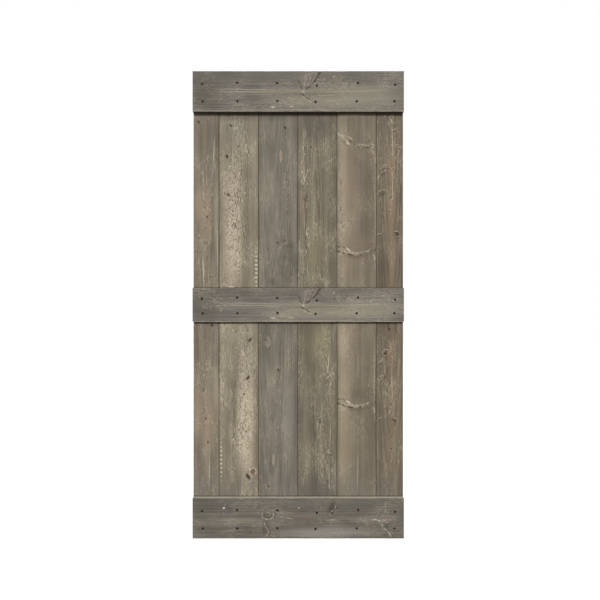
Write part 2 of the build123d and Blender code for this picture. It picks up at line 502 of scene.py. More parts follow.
def whorl(lower, amount):
    # a ring of small branches across the fifth plank, this far below the upper one of the pair
    def at(x, down):
        return (x, down + lower)
    return [
        # painted shade in a broad band beneath the arc
        oval(at(262, 842), (100, 20), tints["shade"], 0.5 * amount, bend=24, soft=0.9),
        oval(at(262, 832), (98, 11), tints["cream"], 0.55 * amount, bend=22, soft=0.5, grit="mottle"),
        *crooked([at(168, 799), at(200, 799), at(222, 808)], 12, "dark", 0.75 * amount, -0.5, 0.9),
        *crooked([at(168, 817), at(198, 824), at(220, 833), at(256, 839)], 11, "dark", amount, -0.9, 0.8),
        *crooked([at(176, 809), at(204, 814), at(228, 826)], 6, "tan", 0.7, 0.8),
        *crooked([at(218, 803), at(243, 824)], 9, "cream", amount, 1.6),
        strand(at(240, 822), at(258, 830), 7, "pale", amount, rise=1.2),
        strand(at(236, 834), at(262, 840), 9, "shade", 0.8 * amount),
        strand(at(264, 826), at(278, 836), 8, "pale", 0.8 * amount, rise=0.8),
        strand(at(181, 827), at(208, 838), 8, "pale", 0.7 * amount, rise=0.6),
        oval(at(286, 836), (10, 9), tints["dark"], 0.85 * amount, soft=0.9, rise=-0.6),
        *crooked([at(300, 829), at(322, 828), at(354, 813)], 11, "shade", 0.85 * amount, -0.6, 0.9),
        *crooked([at(308, 824), at(332, 811)], 10, "pale", 0.45 * amount, 0.7, 0.9),
        strand(at(355, 803), at(353, 824), 9, "dark", 0.85 * amount),
        *crooked([at(343, 842), at(352, 838), at(351, 868)], 9, "pale", 0.6 * amount, 0.8),
        strand(at(351, 862), at(356, 915), 6, "pale", 0.4 * amount),
    ]


# The boards. Each knot is (x, down, radius, stretch along the grain, turn), and each patch a tone on
# the face. pith is where the tree's middle lay: its place across, and how deep behind the door's front.
# A rail's rubbed edge, pale from wear and a painted highlight, is 1 for the lower or -1 for the upper, where it starts
# and is full, and how pale.
# One number gives how dark the painted shadow is on a plank right below the top rail.
boards = {
    "plank_1": {
        "seed": 1, "tones": ("#6a6052", "#837a6b", "#a0937d"), "pith": (-640, 90), "aslant": 0.02,
        "ringGap": 7.0, "sway": 12, "ripple": 2.0, "flecks": 0.45, "ring": 0.25, "veins": 0.5, "underRailShadow": 0.35,
        "knots": [(-459, 225, 4, 1.5, 30), (-420, 662, 3, 1.4), (-397, 1160, 5, 1.2),
                  (-427, 1591, 3.5, 1.0), (-416, 1699, 3, 1.3)],
        "patches": [
            {"at": (-425, 650), "size": (40, 260), "colour": "#a08c75", "amount": 0.5},
            {"at": (-415, 1610), "size": (45, 220), "colour": "#a28f77", "amount": 0.5},
            {"at": (-405, 330), "size": (30, 200), "colour": "#716c61", "amount": 0.5},
            {"at": (-415, 1230), "size": (40, 120), "colour": "#726b60", "amount": 0.5},
            {"at": (-425, 1900), "size": (50, 120), "colour": "#7a7062", "amount": 0.5},
            {"at": (-478, 1000), "size": (9, 950), "colour": "#9b8269", "amount": 0.5},
            {"at": (-375, 640), "size": (18, 300), "colour": "#a39884", "amount": 0.6},
            {"at": (-455, 600), "size": (34, 120), "colour": "#a69780", "amount": 0.55},
            {"at": (-376, 1460), "size": (24, 170), "colour": "#aa9d88", "amount": 0.65},
            {"at": (-462, 1560), "size": (32, 200), "colour": "#a6967e", "amount": 0.6},
            {"at": (-430, 1500), "size": (25, 300), "colour": "#b9ab92", "amount": 0.5, "grit": "veins"},
            {"at": (-425, 480), "size": (30, 260), "colour": "#b9ab92", "amount": 0.5, "grit": "veins"},
        ],
        "marks": [
            strand((-439, 410), (-437, 560), 4, "pale", 0.7),
            strand((-431, 540), (-440, 600), 4, "pale", 0.6),
            strand((-386, 260), (-392, 480), 5, "pale", 0.75, 6),
            strand((-404, 500), (-388, 420), 4, "pale", 0.6),
            strand((-441, 800), (-432, 1030), 9, "pale", 0.75),
            strand((-449, 800), (-443, 1000), 6, "shade", 0.6),
            *crooked([(-450, 776), (-438, 764), (-418, 770), (-410, 786), (-424, 800)], 5, "pale", 0.5),
            strand((-440, 784), (-420, 786), 9, "shade", 0.6),
            strand((-408, 1740), (-411, 1945), 5, "pale", 0.8),
            strand((-402, 1750), (-404, 1950), 4, "shade", 0.6),
            strand((-373, 660), (-372, 960), 7, "pale", 0.65),
            strand((-425, 1420), (-432, 1560), 4, "pale", 0.5),
            strand((-470, 1290), (-452, 1460), 4, "pale", 0.4),
            *lip(-422, 792, 40, 10, 5, 3, 0.5),
            *lip(-446, 228, 22, -40, 0, 4, 0.6),
        ],
    },
    "plank_2": {
        "seed": 2, "tones": ("#7a6f5e", "#928876", "#b3a78f"), "pith": (-275, 62), "aslant": 0.035,
        "ringGap": 6.5, "sway": 16, "ripple": 3.0, "flecks": 0.8, "ring": 0.3, "veins": 0.75, "underRailShadow": 0.5,
        "knots": [(-310, 241, 3.5, 1.8, 35), (-328, 384, 4.5, 1.7, 25), (-321, 561, 4, 1.8, 40),
                  (-301, 635, 2.5, 1.3), (-222, 1229, 4.5, 1.8, -30), (-232, 1404, 5, 1.8, -45),
                  (-250, 1478, 3, 1.5, -15), (-209, 1835, 10, 1.0), (-231, 1858, 6, 2.0, 35)],
        "patches": [
            {"at": (-310, 780), "size": (50, 380), "colour": "#b6a991", "amount": 0.75},
            {"at": (-300, 720), "size": (62, 330), "colour": "#d0c3ab", "amount": 0.8, "grit": "mottle"},
            {"at": (-240, 1600), "size": (52, 350), "colour": "#bdaf97", "amount": 0.8},
            {"at": (-240, 1600), "size": (60, 340), "colour": "#d4c7af", "amount": 0.85, "grit": "mottle"},
            {"at": (-290, 480), "size": (60, 270), "colour": "#c0b59e", "amount": 0.65, "grit": "mottle"},
            {"at": (-250, 1250), "size": (60, 250), "colour": "#b4a992", "amount": 0.6, "grit": "mottle"},
            {"at": (-345, 330), "size": (24, 130), "colour": "#7d7569", "amount": 0.5},
            {"at": (-255, 740), "size": (22, 190), "colour": "#665c4c", "amount": 0.7, "grit": "mottle"},
            {"at": (-292, 1500), "size": (18, 150), "colour": "#665c4c", "amount": 0.6, "grit": "mottle"},
            {"at": (-285, 600), "size": (35, 420), "colour": "#d2c7ae", "amount": 0.45, "grit": "veins"},
            {"at": (-250, 1450), "size": (35, 380), "colour": "#d2c7ae", "amount": 0.45, "grit": "veins"},
            {"at": (-300, 1900), "size": (40, 160), "colour": "#7c7365", "amount": 0.5},
            {"at": (-280, 250), "size": (110, 130), "colour": "#807a6e", "amount": 0.55},
            # a painted shadow right below the top rail
            {"at": (-280, 196), "size": (150, 34), "colour": "#5d574d", "amount": 0.4},
            {"at": (-210, 900), "size": (30, 160), "colour": "#857c6b", "amount": 0.5},
        ],
        "marks": [
            strand((-194, 795), (-194, 1010), 13, "cream", 0.9, grit="beads", soft=0.4),
            strand((-275, 815), (-274, 950), 12, "cream", 0.7, grit="beads", soft=0.6),
            strand((-355, 1650), (-354, 1910), 12, "cream", 0.8, grit="beads", soft=0.6),
            strand((-270, 1640), (-270, 1760), 12, "cream", 0.75, grit="beads", soft=0.6),
            strand((-196, 360), (-196, 760), 6, "pale", 0.5, grit="flecks"),
            strand((-332, 984), (-288, 984), 10, "cream", 0.75),
            *crooked([(-356, 985), (-349, 972), (-337, 970), (-328, 981)], 6, "cream", 0.6),
            {"at": (-209, 1835), "size": (17, 15), "colour": "#c4b69c", "amount": 0.5, "soft": 0.3},
            {"at": (-209, 1836), "size": (12, 11), "colour": "#4a3f33", "amount": 0.85, "soft": 0.3},
            {"at": (-207, 1837), "size": (7.5, 7), "colour": "#85725a", "amount": 0.9, "soft": 0.5},
            *crooked([(-224, 1830), (-216, 1818), (-200, 1818), (-191, 1832), (-198, 1850)], 5, "cream", 0.7, 0.9),
            *crooked([(-228, 1840), (-220, 1854), (-206, 1858)], 5, "pale", 0.6, 0.6),
            strand((-240, 1838), (-222, 1884), 9, "dark", 0.8),
            strand((-252, 1828), (-236, 1846), 5, "dark", 0.6),
            strand((-228, 1888), (-214, 1872), 4, "cream", 0.6),
            strand((-228, 1820), (-222, 1832), 5, "cream", 0.8),
            strand((-300, 690), (-262, 726), 4, "shade", 0.5),
            strand((-258, 700), (-244, 780), 4, "dark", 0.5),
            strand((-302, 1540), (-288, 1580), 6, "dark", 0.6),
            strand((-190, 1000), (-190, 2140), 9, "dark", 0.55, soft=1.0),
        ],
    },
    "plank_3": {
        "seed": 3, "tones": ("#676056", "#7d766a", "#978d7b"), "pith": (-120, 75), "aslant": -0.03,
        "ringGap": 7.0, "sway": 12, "ripple": 1.8, "flecks": 0.3, "ring": 0.2, "veins": 0.25, "underRailShadow": 0.5,
        "knots": [(-61, 252, 4, 1.4, 35), (-94, 782, 3, 1.5), (-94, 1367, 3, 1.6), (-137, 1904, 6, 1.0)],
        "patches": [
            {"at": (-140, 520), "size": (50, 300), "colour": "#8b8475", "amount": 0.6},
            # a painted shadow right below the top rail
            {"at": (-90, 196), "size": (150, 34), "colour": "#5a554d", "amount": 0.4},
            {"at": (-80, 1090), "size": (110, 150), "colour": "#655f56", "amount": 0.5},
            {"at": (-44, 884), "size": (62, 122), "colour": "#5d574e", "amount": 0.7, "soft": 0.6},
            {"at": (-60, 860), "size": (30, 90), "colour": "#938a7a", "amount": 0.5, "grit": "mottle"},
            {"at": (-40, 796), "size": (34, 24), "colour": "#544e45", "amount": 0.6},
            {"at": (-118, 960), "size": (24, 28), "colour": "#585248", "amount": 0.5},
            {"at": (-94, 782), "size": (9, 11), "colour": "#7d766a", "amount": 0.7},
            {"at": (-150, 1230), "size": (50, 170), "colour": "#5f594f", "amount": 0.6},
            {"at": (-139, 1240), "size": (24, 50), "colour": "#938b7b", "amount": 0.6, "grit": "mottle"},
            {"at": (-50, 1600), "size": (45, 250), "colour": "#8c877c", "amount": 0.6},
            {"at": (-90, 1500), "size": (30, 300), "colour": "#aaa08b", "amount": 0.5, "grit": "veins"},
            {"at": (-60, 600), "size": (30, 300), "colour": "#a79d88", "amount": 0.4, "grit": "veins"},
        ],
        "marks": [
            {"at": (-80, 381), "size": (8, 34), "colour": "#b0a58d", "amount": 0.75, "soft": 0.5},
            {"at": (-80, 381), "size": (4, 24), "colour": "#7c7465", "amount": 0.6, "soft": 0.5},
            {"at": (-114, 1780), "size": (8, 34), "colour": "#b0a58d", "amount": 0.75, "soft": 0.5},
            {"at": (-114, 1778), "size": (4, 22), "colour": "#837a6a", "amount": 0.6, "soft": 0.5},
            {"at": (-137, 1904), "size": (11, 12), "colour": "#a2977f", "amount": 0.5, "soft": 0.4},
            {"at": (-137, 1903), "size": (7, 8), "colour": "#5a4f41", "amount": 0.8, "soft": 0.5},
            *crooked([(-96, 806), (-82, 778), (-48, 768), (-14, 784)], 7, "dark", 0.55, -0.6, 0.9),
            *crooked([(-88, 812), (-72, 788), (-44, 780)], 4, "pale", 0.45, 0.5),
            *crooked([(-92, 840), (-96, 900), (-112, 950), (-122, 984)], 7, "shade", 0.6, -0.4, 0.9),
            *crooked([(-151, 1206), (-139, 1196), (-127, 1208), (-121, 1240), (-129, 1272), (-145, 1278),
                      (-156, 1242), (-151, 1206)], 5, "shade", 0.65, -0.4, 0.9),
            *crooked([(-146, 1222), (-138, 1212), (-131, 1236), (-138, 1262), (-147, 1240)], 4, "pale", 0.45, 0.5),
            *lip(-92, 772, 26, 0, -8, 3, 0.5),
            strand((-96, 715), (-84, 760), 3, "pale", 0.6),
            strand((-150, 812), (-128, 812), 4, "shade", 0.6),
            strand((-128, 960), (-96, 975), 4, "shade", 0.5),
            strand((-93, 1350), (-88, 1390), 4, "dark", 0.5),
        ],
    },
    "plank_4": {
        "seed": 4, "tones": ("#645c4d", "#7c7464", "#998e77"), "pith": (80, 58), "aslant": 0.03,
        "ringGap": 6.5, "sway": 15, "ripple": 3.0, "flecks": 0.5, "ring": 0.3, "veins": 0.55, "underRailShadow": 0.55,
        "knots": [(100, 1607, 3.5, 1.6), (60, 340, 2.5, 1.6)],
        "patches": [
            {"at": (30, 500), "size": (22, 330), "colour": "#c9bea5", "amount": 0.45, "grit": "veins"},
            {"at": (40, 800), "size": (26, 180), "colour": "#c9bea5", "amount": 0.45, "grit": "veins"},
            {"at": (142, 1400), "size": (24, 230), "colour": "#cfc4ab", "amount": 0.55, "grit": "veins"},
            {"at": (145, 1800), "size": (24, 230), "colour": "#c9bea5", "amount": 0.45, "grit": "veins"},
            {"at": (80, 230), "size": (110, 130), "colour": "#625c53", "amount": 0.7},
            {"at": (90, 1960), "size": (110, 180), "colour": "#5e584e", "amount": 0.8},
            {"at": (70, 800), "size": (60, 220), "colour": "#8b8268", "amount": 0.6},
            {"at": (100, 1240), "size": (70, 150), "colour": "#8d8468", "amount": 0.6},
            {"at": (150, 900), "size": (20, 140), "colour": "#6b6357", "amount": 0.6},
            {"at": (20, 620), "size": (12, 120), "colour": "#967f68", "amount": 0.5},
        ],
        "marks": [
            strand((27, 215), (24, 420), 4, "pale", 0.8, 4),
            strand((36, 240), (30, 330), 4, "pale", 0.6, -4),
            strand((24, 400), (32, 560), 4, "pale", 0.8, 5),
            strand((40, 300), (46, 370), 3, "pale", 0.5),
            strand((34, 700), (44, 770), 4, "cream", 0.7, 6),
            strand((26, 620), (30, 760), 3, "pale", 0.6),
            strand((47, 705), (38, 790), 3, "pale", 0.6, -4),
            strand((46, 860), (40, 940), 3, "pale", 0.6, 4),
            strand((146, 1260), (136, 1385), 4, "pale", 0.8, -5),
            strand((126, 1412), (146, 1388), 4, "cream", 0.8),
            strand((143, 1400), (148, 1550), 4, "pale", 0.7, 5),
            strand((130, 1430), (126, 1520), 3, "pale", 0.6),
            strand((152, 1570), (144, 1760), 4, "pale", 0.7, -5),
            strand((138, 1800), (150, 1960), 4, "pale", 0.6, 5),
            strand((94, 1580), (88, 1650), 4, "pale", 0.5, -5),
            strand((108, 1600), (112, 1660), 4, "shade", 0.6),
            *lip(98, 1588, 38, 28, 8, 5, 0.7),
            *lip(114, 1622, 34, -24, 8, 4, 0.6),
            *lip(84, 1640, 30, 40, 5, 4, 0.5),
            *lip(66, 772, 30, 20, 6, 4, 0.4),
            {"at": (172, 1480), "size": (5, 380), "colour": "#665041", "amount": 0.55},
            strand((86, 1190), (82, 1290), 4, "pale", 0.45, -4),
            strand((126, 1170), (120, 1240), 5, "pale", 0.5, 4),
            strand((160, 1170), (162, 1250), 4, "pale", 0.5),
        ],
    },
    "plank_5": {
        "seed": 5, "tones": ("#6c6252", "#837868", "#9a8d76"), "pith": (420, 60), "aslant": 0.01,
        "ringGap": 7.0, "sway": 9, "ripple": 1.2, "flecks": 0.4, "ring": 0.12, "veins": 0.3, "underRailShadow": 0.2,
        "knots": [],
        "patches": [
            {"at": (204, 620), "size": (44, 560), "colour": "#a89985", "amount": 0.75},
            {"at": (204, 1560), "size": (44, 560), "colour": "#a3967f", "amount": 0.7},
            {"at": (198, 700), "size": (26, 460), "colour": "#bdb09a", "amount": 0.5, "grit": "veins"},
            {"at": (330, 700), "size": (30, 460), "colour": "#90846f", "amount": 0.35, "grit": "veins"},
            {"at": (205, 1230), "size": (42, 130), "colour": "#bdae96", "amount": 0.5},
            {"at": (262, 176), "size": (100, 34), "colour": "#a69d8a", "amount": 0.5},
            {"at": (250, 1960), "size": (110, 150), "colour": "#7c7568", "amount": 0.4},
            {"at": (245, 620), "size": (22, 560), "colour": "#92836b", "amount": 0.6},
            {"at": (325, 620), "size": (46, 560), "colour": "#6c6154", "amount": 0.8},
            {"at": (325, 1560), "size": (46, 560), "colour": "#6e6455", "amount": 0.8},
            {"at": (262, 780), "size": (110, 50), "colour": "#857866", "amount": 0.5},
            {"at": (300, 1480), "size": (70, 45), "colour": "#6b6153", "amount": 0.6},
            {"at": (225, 1700), "size": (60, 150), "colour": "#8f836a", "amount": 0.5},
        ],
        "marks": [
            *whorl(0, 0.9), *whorl(702, 0.95),
            {"at": (206, 1546), "size": (28, 14), "colour": "#b9ac95", "amount": 0.55},
            strand((354, 360), (354, 800), 4, "pale", 0.4),
            strand((350, 1190), (349, 1640), 4, "pale", 0.5),
            {"at": (180, 1480), "size": (4, 380), "colour": "#6d5646", "amount": 0.5},
            strand((180, 1000), (180, 2140), 10, "dark", 0.45, soft=1.0),
            strand((187, 1000), (187, 2140), 24, "shade", 0.35, soft=1.0),
            strand((355, 1000), (355, 2140), 6, "dark", 0.5, soft=1.0),
            strand((190, 296), (250, 342), 30, "shade", 0.45, soft=0.9),
            strand((182, 272), (246, 330), 30, "pale", 0.6, grit="mottle", soft=0.5),
            strand((236, 332), (352, 334), 22, "pale", 0.5, 8, grit="mottle", soft=0.5),
            *crooked([(186, 278), (213, 302), (237, 328)], 11, "pale", 0.55, 1.0, 0.9),
            *crooked([(226, 288), (252, 309)], 8, "pale", 0.6, 0.6),
            strand((214, 318), (244, 333), 11, "cream", 0.6, rise=0.6),
            *crooked([(228, 304), (250, 322), (284, 342)], 14, "dark", 0.85, -0.6, 0.9),
            *crooked([(276, 340), (300, 346), (334, 341)], 9, "dark", 0.75, -0.5),
            strand((262, 330), (276, 335), 6, "cream", 0.7),
            strand((284, 340), (296, 346), 6, "cream", 0.7, rise=0.6),
            strand((283, 331), (320, 330), 5, "pale", 0.4),
            *crooked([(321, 307), (325, 322), (334, 336)], 5, "dark", 0.8, -0.5),
            *crooked([(336, 322), (350, 336), (330, 350), (352, 377)], 8, "pale", 0.55, 0.7),
            *crooked([(352, 376), (356, 420)], 7, "pale", 0.45),
            strand((361, 308), (368, 318), 7, "cream", 0.8),
            strand((190, 336), (236, 350), 14, "pale", 0.4, grit="mottle"),
            strand((176, 262), (196, 300), 10, "pale", 0.45),
            strand((268, 620), (272, 760), 5, "pale", 0.4, grit="flecks"),
            strand((276, 1700), (272, 1950), 7, "pale", 0.45),
            strand((278, 1260), (272, 1430), 5, "pale", 0.4),
        ],
    },
    "plank_6": {
        "seed": 6, "tones": ("#5f5547", "#7a6e5e", "#988970"), "pith": (430, 66), "aslant": -0.03,
        "ringGap": 6.5, "sway": 12, "ripple": 2.6, "flecks": 0.35, "ring": 0.25, "veins": 0.4, "underRailShadow": 0.35,
        "knots": [(455, 744, 6, 1.2), (403, 1293, 5, 1.5, 40), (448, 1599, 6, 1.1), (427, 1730, 2.5, 1.3),
                  (420, 1180, 4, 1.0)],
        "patches": [
            {"at": (430, 700), "size": (28, 700), "colour": "#8f7c66", "amount": 0.6},
            {"at": (430, 1600), "size": (28, 600), "colour": "#8a7963", "amount": 0.6},
            {"at": (400, 240), "size": (50, 170), "colour": "#645c53", "amount": 0.5},
            {"at": (410, 1960), "size": (60, 170), "colour": "#6b645a", "amount": 0.5},
            {"at": (372, 1000), "size": (18, 1200), "colour": "#685f50", "amount": 0.6},
            {"at": (382, 860), "size": (22, 110), "colour": "#62584c", "amount": 0.7, "soft": 0.5},
            {"at": (430, 600), "size": (14, 420), "colour": "#c4b497", "amount": 0.45, "grit": "veins"},
            {"at": (432, 1500), "size": (14, 420), "colour": "#bfaf93", "amount": 0.45, "grit": "veins"},
        ],
        "marks": [
            {"at": (392, 462), "size": (34, 17), "colour": tints["shade"], "amount": 0.6, "turn": 34, "soft": 0.8},
            {"at": (384, 556), "size": (26, 16), "colour": tints["shade"], "amount": 0.5, "turn": 40, "soft": 0.8},
            *crooked([(370, 472), (386, 444), (402, 438), (424, 443)], 9, "dark", 0.65, -0.6, 0.9),
            *crooked([(366, 488), (376, 463), (390, 453), (408, 447)], 8, "pale", 0.6, 0.8, 0.9),
            *crooked([(380, 446), (384, 431), (396, 423), (414, 426)], 7, "pale", 0.55, 0.8, 0.9),
            *crooked([(370, 548), (383, 536), (402, 537), (411, 543)], 7, "pale", 0.6, 0.8, 0.9),
            strand((384, 568), (403, 546), 10, "dark", 0.65, rise=-0.5),
            strand((370, 597), (384, 567), 5, "pale", 0.4),
            strand((420, 442), (450, 427), 6, "pale", 0.4),
            strand((420, 298), (440, 312), 8, "dark", 0.5),
            *crooked([(436, 343), (460, 332), (476, 348)], 10, "pale", 0.45, 0.7, 0.9),
            strand((416, 207), (450, 208), 8, "dark", 0.6),
            strand((364, 218), (366, 228), 7, "cream", 0.6),
            *lip(440, 262, 44, 25, 8, 5),
            *lip(450, 330, 48, 20, -8, 5),
            *lip(372, 742, 44, 14, -4, 5, 0.9),
            *lip(452, 728, 36, 0, -10, 6, 0.9),
            *lip(458, 752, 34, -12, 8, 5, 0.7),
            strand((470, 760), (440, 775), 4, "rust", 0.7),
            strand((412, 196), (440, 236), 6, "pale", 0.6, 4, rise=0.6),
            strand((392, 206), (408, 190), 5, "pale", 0.6),
            strand((424, 236), (446, 246), 6, "dark", 0.6),
            strand((433, 560), (430, 760), 5, "rust", 0.6),
            strand((431, 760), (434, 960), 5, "rust", 0.6, grit="veins"),
            strand((430, 220), (436, 420), 5, "pale", 0.7, 4),
            strand((438, 420), (432, 640), 4, "pale", 0.7, -4),
            strand((434, 640), (428, 960), 4, "pale", 0.6, 3, grit="flecks"),
            *crooked([(386, 1292), (390, 1276), (404, 1270), (416, 1280), (414, 1296), (398, 1302)], 5, "pale", 0.6, 0.8),
            *crooked([(380, 1296), (384, 1272), (402, 1262), (420, 1272)], 6, "dark", 0.55, -0.5, 0.9),
            strand((392, 1300), (424, 1296), 4, "rust", 0.7),
            strand((408, 1300), (440, 1282), 9, "rust", 0.6),
            strand((414, 1308), (444, 1302), 5, "pale", 0.5),
            strand((362, 1340), (394, 1312), 6, "pale", 0.55),
            strand((366, 1352), (392, 1326), 6, "shade", 0.5),
            strand((388, 1408), (408, 1392), 9, "dark", 0.6),
            strand((364, 1402), (402, 1386), 5, "pale", 0.5),
            strand((424, 1588), (442, 1602), 10, "dark", 0.6),
            strand((436, 1582), (464, 1610), 6, "pale", 0.6),
            strand((446, 1576), (476, 1590), 8, "shade", 0.6),
            strand((424, 1546), (418, 1572), 5, "pale", 0.55),
            *lip(380, 1412, 50, 48, 0, 4, 0.6),
            *lip(376, 1588, 36, 22, -5, 4),
            *lip(446, 1590, 40, -12, 8, 4),
            strand((432, 1180), (430, 1460), 5, "rust", 0.5),
            strand((428, 1300), (434, 1560), 4, "pale", 0.6, 4),
            strand((430, 1640), (428, 1900), 4, "pale", 0.6, grit="flecks"),
            *lip(462, 1190, 44, -60, 5, 4, 0.6),
        ],
    },
}


def fannedRail(seed, top, height):  # the figure of a rail with a branch that fans out of its middle
    def at(x, share):
        return (x, top + share * height)
    return {
        "seed": seed, "tones": ("#5f5a51", "#76716a", "#918a7b"), "pith": (top + 0.55 * height, 110),
        "aslant": 0.004, "ringGap": 6.5, "sway": 6, "ripple": 1.4, "flecks": 0.5, "ring": 0.2,
        "broad": 0.5, "middle": 0.55, "fibre": 1.25, "veins": 0.36, "rubbed": (1, 3.4, 1.4, 0.95),
        "knots": [],
        "patches": [
            {"at": at(60, 0.75), "size": (330, 0.25 * height), "colour": "#928b7b", "amount": 0.8},
            {"at": at(-430, 0.5), "size": (130, 0.7 * height), "colour": "#5d584f", "amount": 0.7},
            {"at": at(310, 0.62), "size": (260, 0.42 * height), "colour": "#a49e8b", "amount": 0.55},
            {"at": at(-300, 0.1), "size": (240, 0.2 * height), "colour": "#605c52", "amount": 0.4},
            {"at": at(50, 0.1), "size": (420, 0.22 * height), "colour": "#726d62", "amount": 0.6},
            {"at": at(40, 0.2), "size": (50, 0.22 * height), "colour": "#877e76", "amount": 0.7},
            {"at": at(40, 0.5), "size": (520, 0.09 * height), "colour": "#958e79", "amount": 0.6},
            {"at": at(210, 0.3), "size": (120, 0.2 * height), "colour": "#a39a84", "amount": 0.6,
             "grit": "mottle"},
            {"at": at(-100, 0.8), "size": (200, 0.15 * height), "colour": "#aaa18b", "amount": 0.6,
             "grit": "flecks"},
        ],
        "marks": [
            {"at": at(62, 0.2), "size": (46, 22), "colour": "#6f6357", "amount": 0.55, "turn": 50, "soft": 0.9},
            *crooked([at(28, 0.49), at(61, 0.345), at(86, 0.16), at(101, 0.0)], 12, "dark", 0.9, -0.8, 0.9),
            *crooked([at(82, 0.2), at(94, 0.1), at(105, 0.0)], 20, "dark", 0.55, -0.3, 0.9),
            *crooked([at(76, 0.27), at(92, 0.12), at(97, 0.02)], 5, "dark", 0.7),
            *crooked([at(38, 0.40), at(52, 0.25), at(58, 0.12), at(68, 0.01)], 5, "pale", 0.6, soft=0.9),
            *crooked([at(32, 0.44), at(44, 0.3), at(50, 0.16)], 4, "shade", 0.7, -0.3),
            *crooked([at(28, 0.42), at(32, 0.25), at(36, 0.04)], 5, "pale", 0.5, soft=0.9),
            *crooked([at(24, 0.42), at(20, 0.2), at(22, 0.03)], 4, "shade", 0.45),
            strand(at(44, 0.13), at(52, 0.02), 6, "cream", 0.45),
            *crooked([at(62, 0.3), at(76, 0.14), at(80, 0.02)], 4, "pale", 0.45),
            *crooked([at(18, 0.49), at(9, 0.33), at(0, 0.22)], 9, "dark", 0.75, -0.4),
            strand(at(0, 0.26), at(-4, 0.06), 4, "shade", 0.4),
            {"at": at(23, 0.51), "size": (13, 8), "colour": tints["pale"], "amount": 0.55, "soft": 0.9},
            *crooked([at(12, 0.55), at(32, 0.63), at(56, 0.72)], 10, "dark", 0.7, -0.5),
            *crooked([at(20, 0.63), at(40, 0.72), at(64, 0.78)], 5, "pale", 0.45),
            strand(at(84, 0.27), at(92, 0.35), 6, "dark", 0.5),
            strand(at(-480, 0.43), at(14, 0.475), 4, "pale", 0.5, -3),
            strand(at(-440, 0.5), at(10, 0.53), 4, "pale", 0.5, -2),
            strand(at(-470, 0.465), at(0, 0.505), 3, "shade", 0.35, -3),
            strand(at(-300, 0.58), at(0, 0.57), 3, "pale", 0.4),
            strand(at(34, 0.54), at(480, 0.47), 4, "pale", 0.5, 2),
            strand(at(40, 0.5), at(480, 0.42), 3, "shade", 0.3, 3),
            strand(at(44, 0.61), at(190, 0.6), 3, "pale", 0.5),
            strand(at(60, 0.575), at(300, 0.53), 3, "shade", 0.3),
            strand(at(110, 0.74), at(190, 0.74), 4, "pale", 0.45),
            strand(at(-250, 0.68), at(-60, 0.66), 3, "shade", 0.3),
            strand(at(-132, 0.885), at(-98, 0.9), 8, "cream", 0.9),
            strand(at(-48, 0.88), at(-14, 0.88), 6, "cream", 0.6),
            strand(at(157, 0.18), at(168, 0.1), 7, "cream", 0.6),
            strand(at(114, 0.24), at(126, 0.17), 5, "pale", 0.6),
            strand(at(-480, 0.965), at(480, 0.955), 4, "pale", 0.35),
            strand(at(360, 0.1), at(372, 0.4), 4, "pale", 0.25, 5),
            strand(at(410, 0.28), at(480, 0.34), 3, "pale", 0.4, grit="flecks"),
        ],
    }


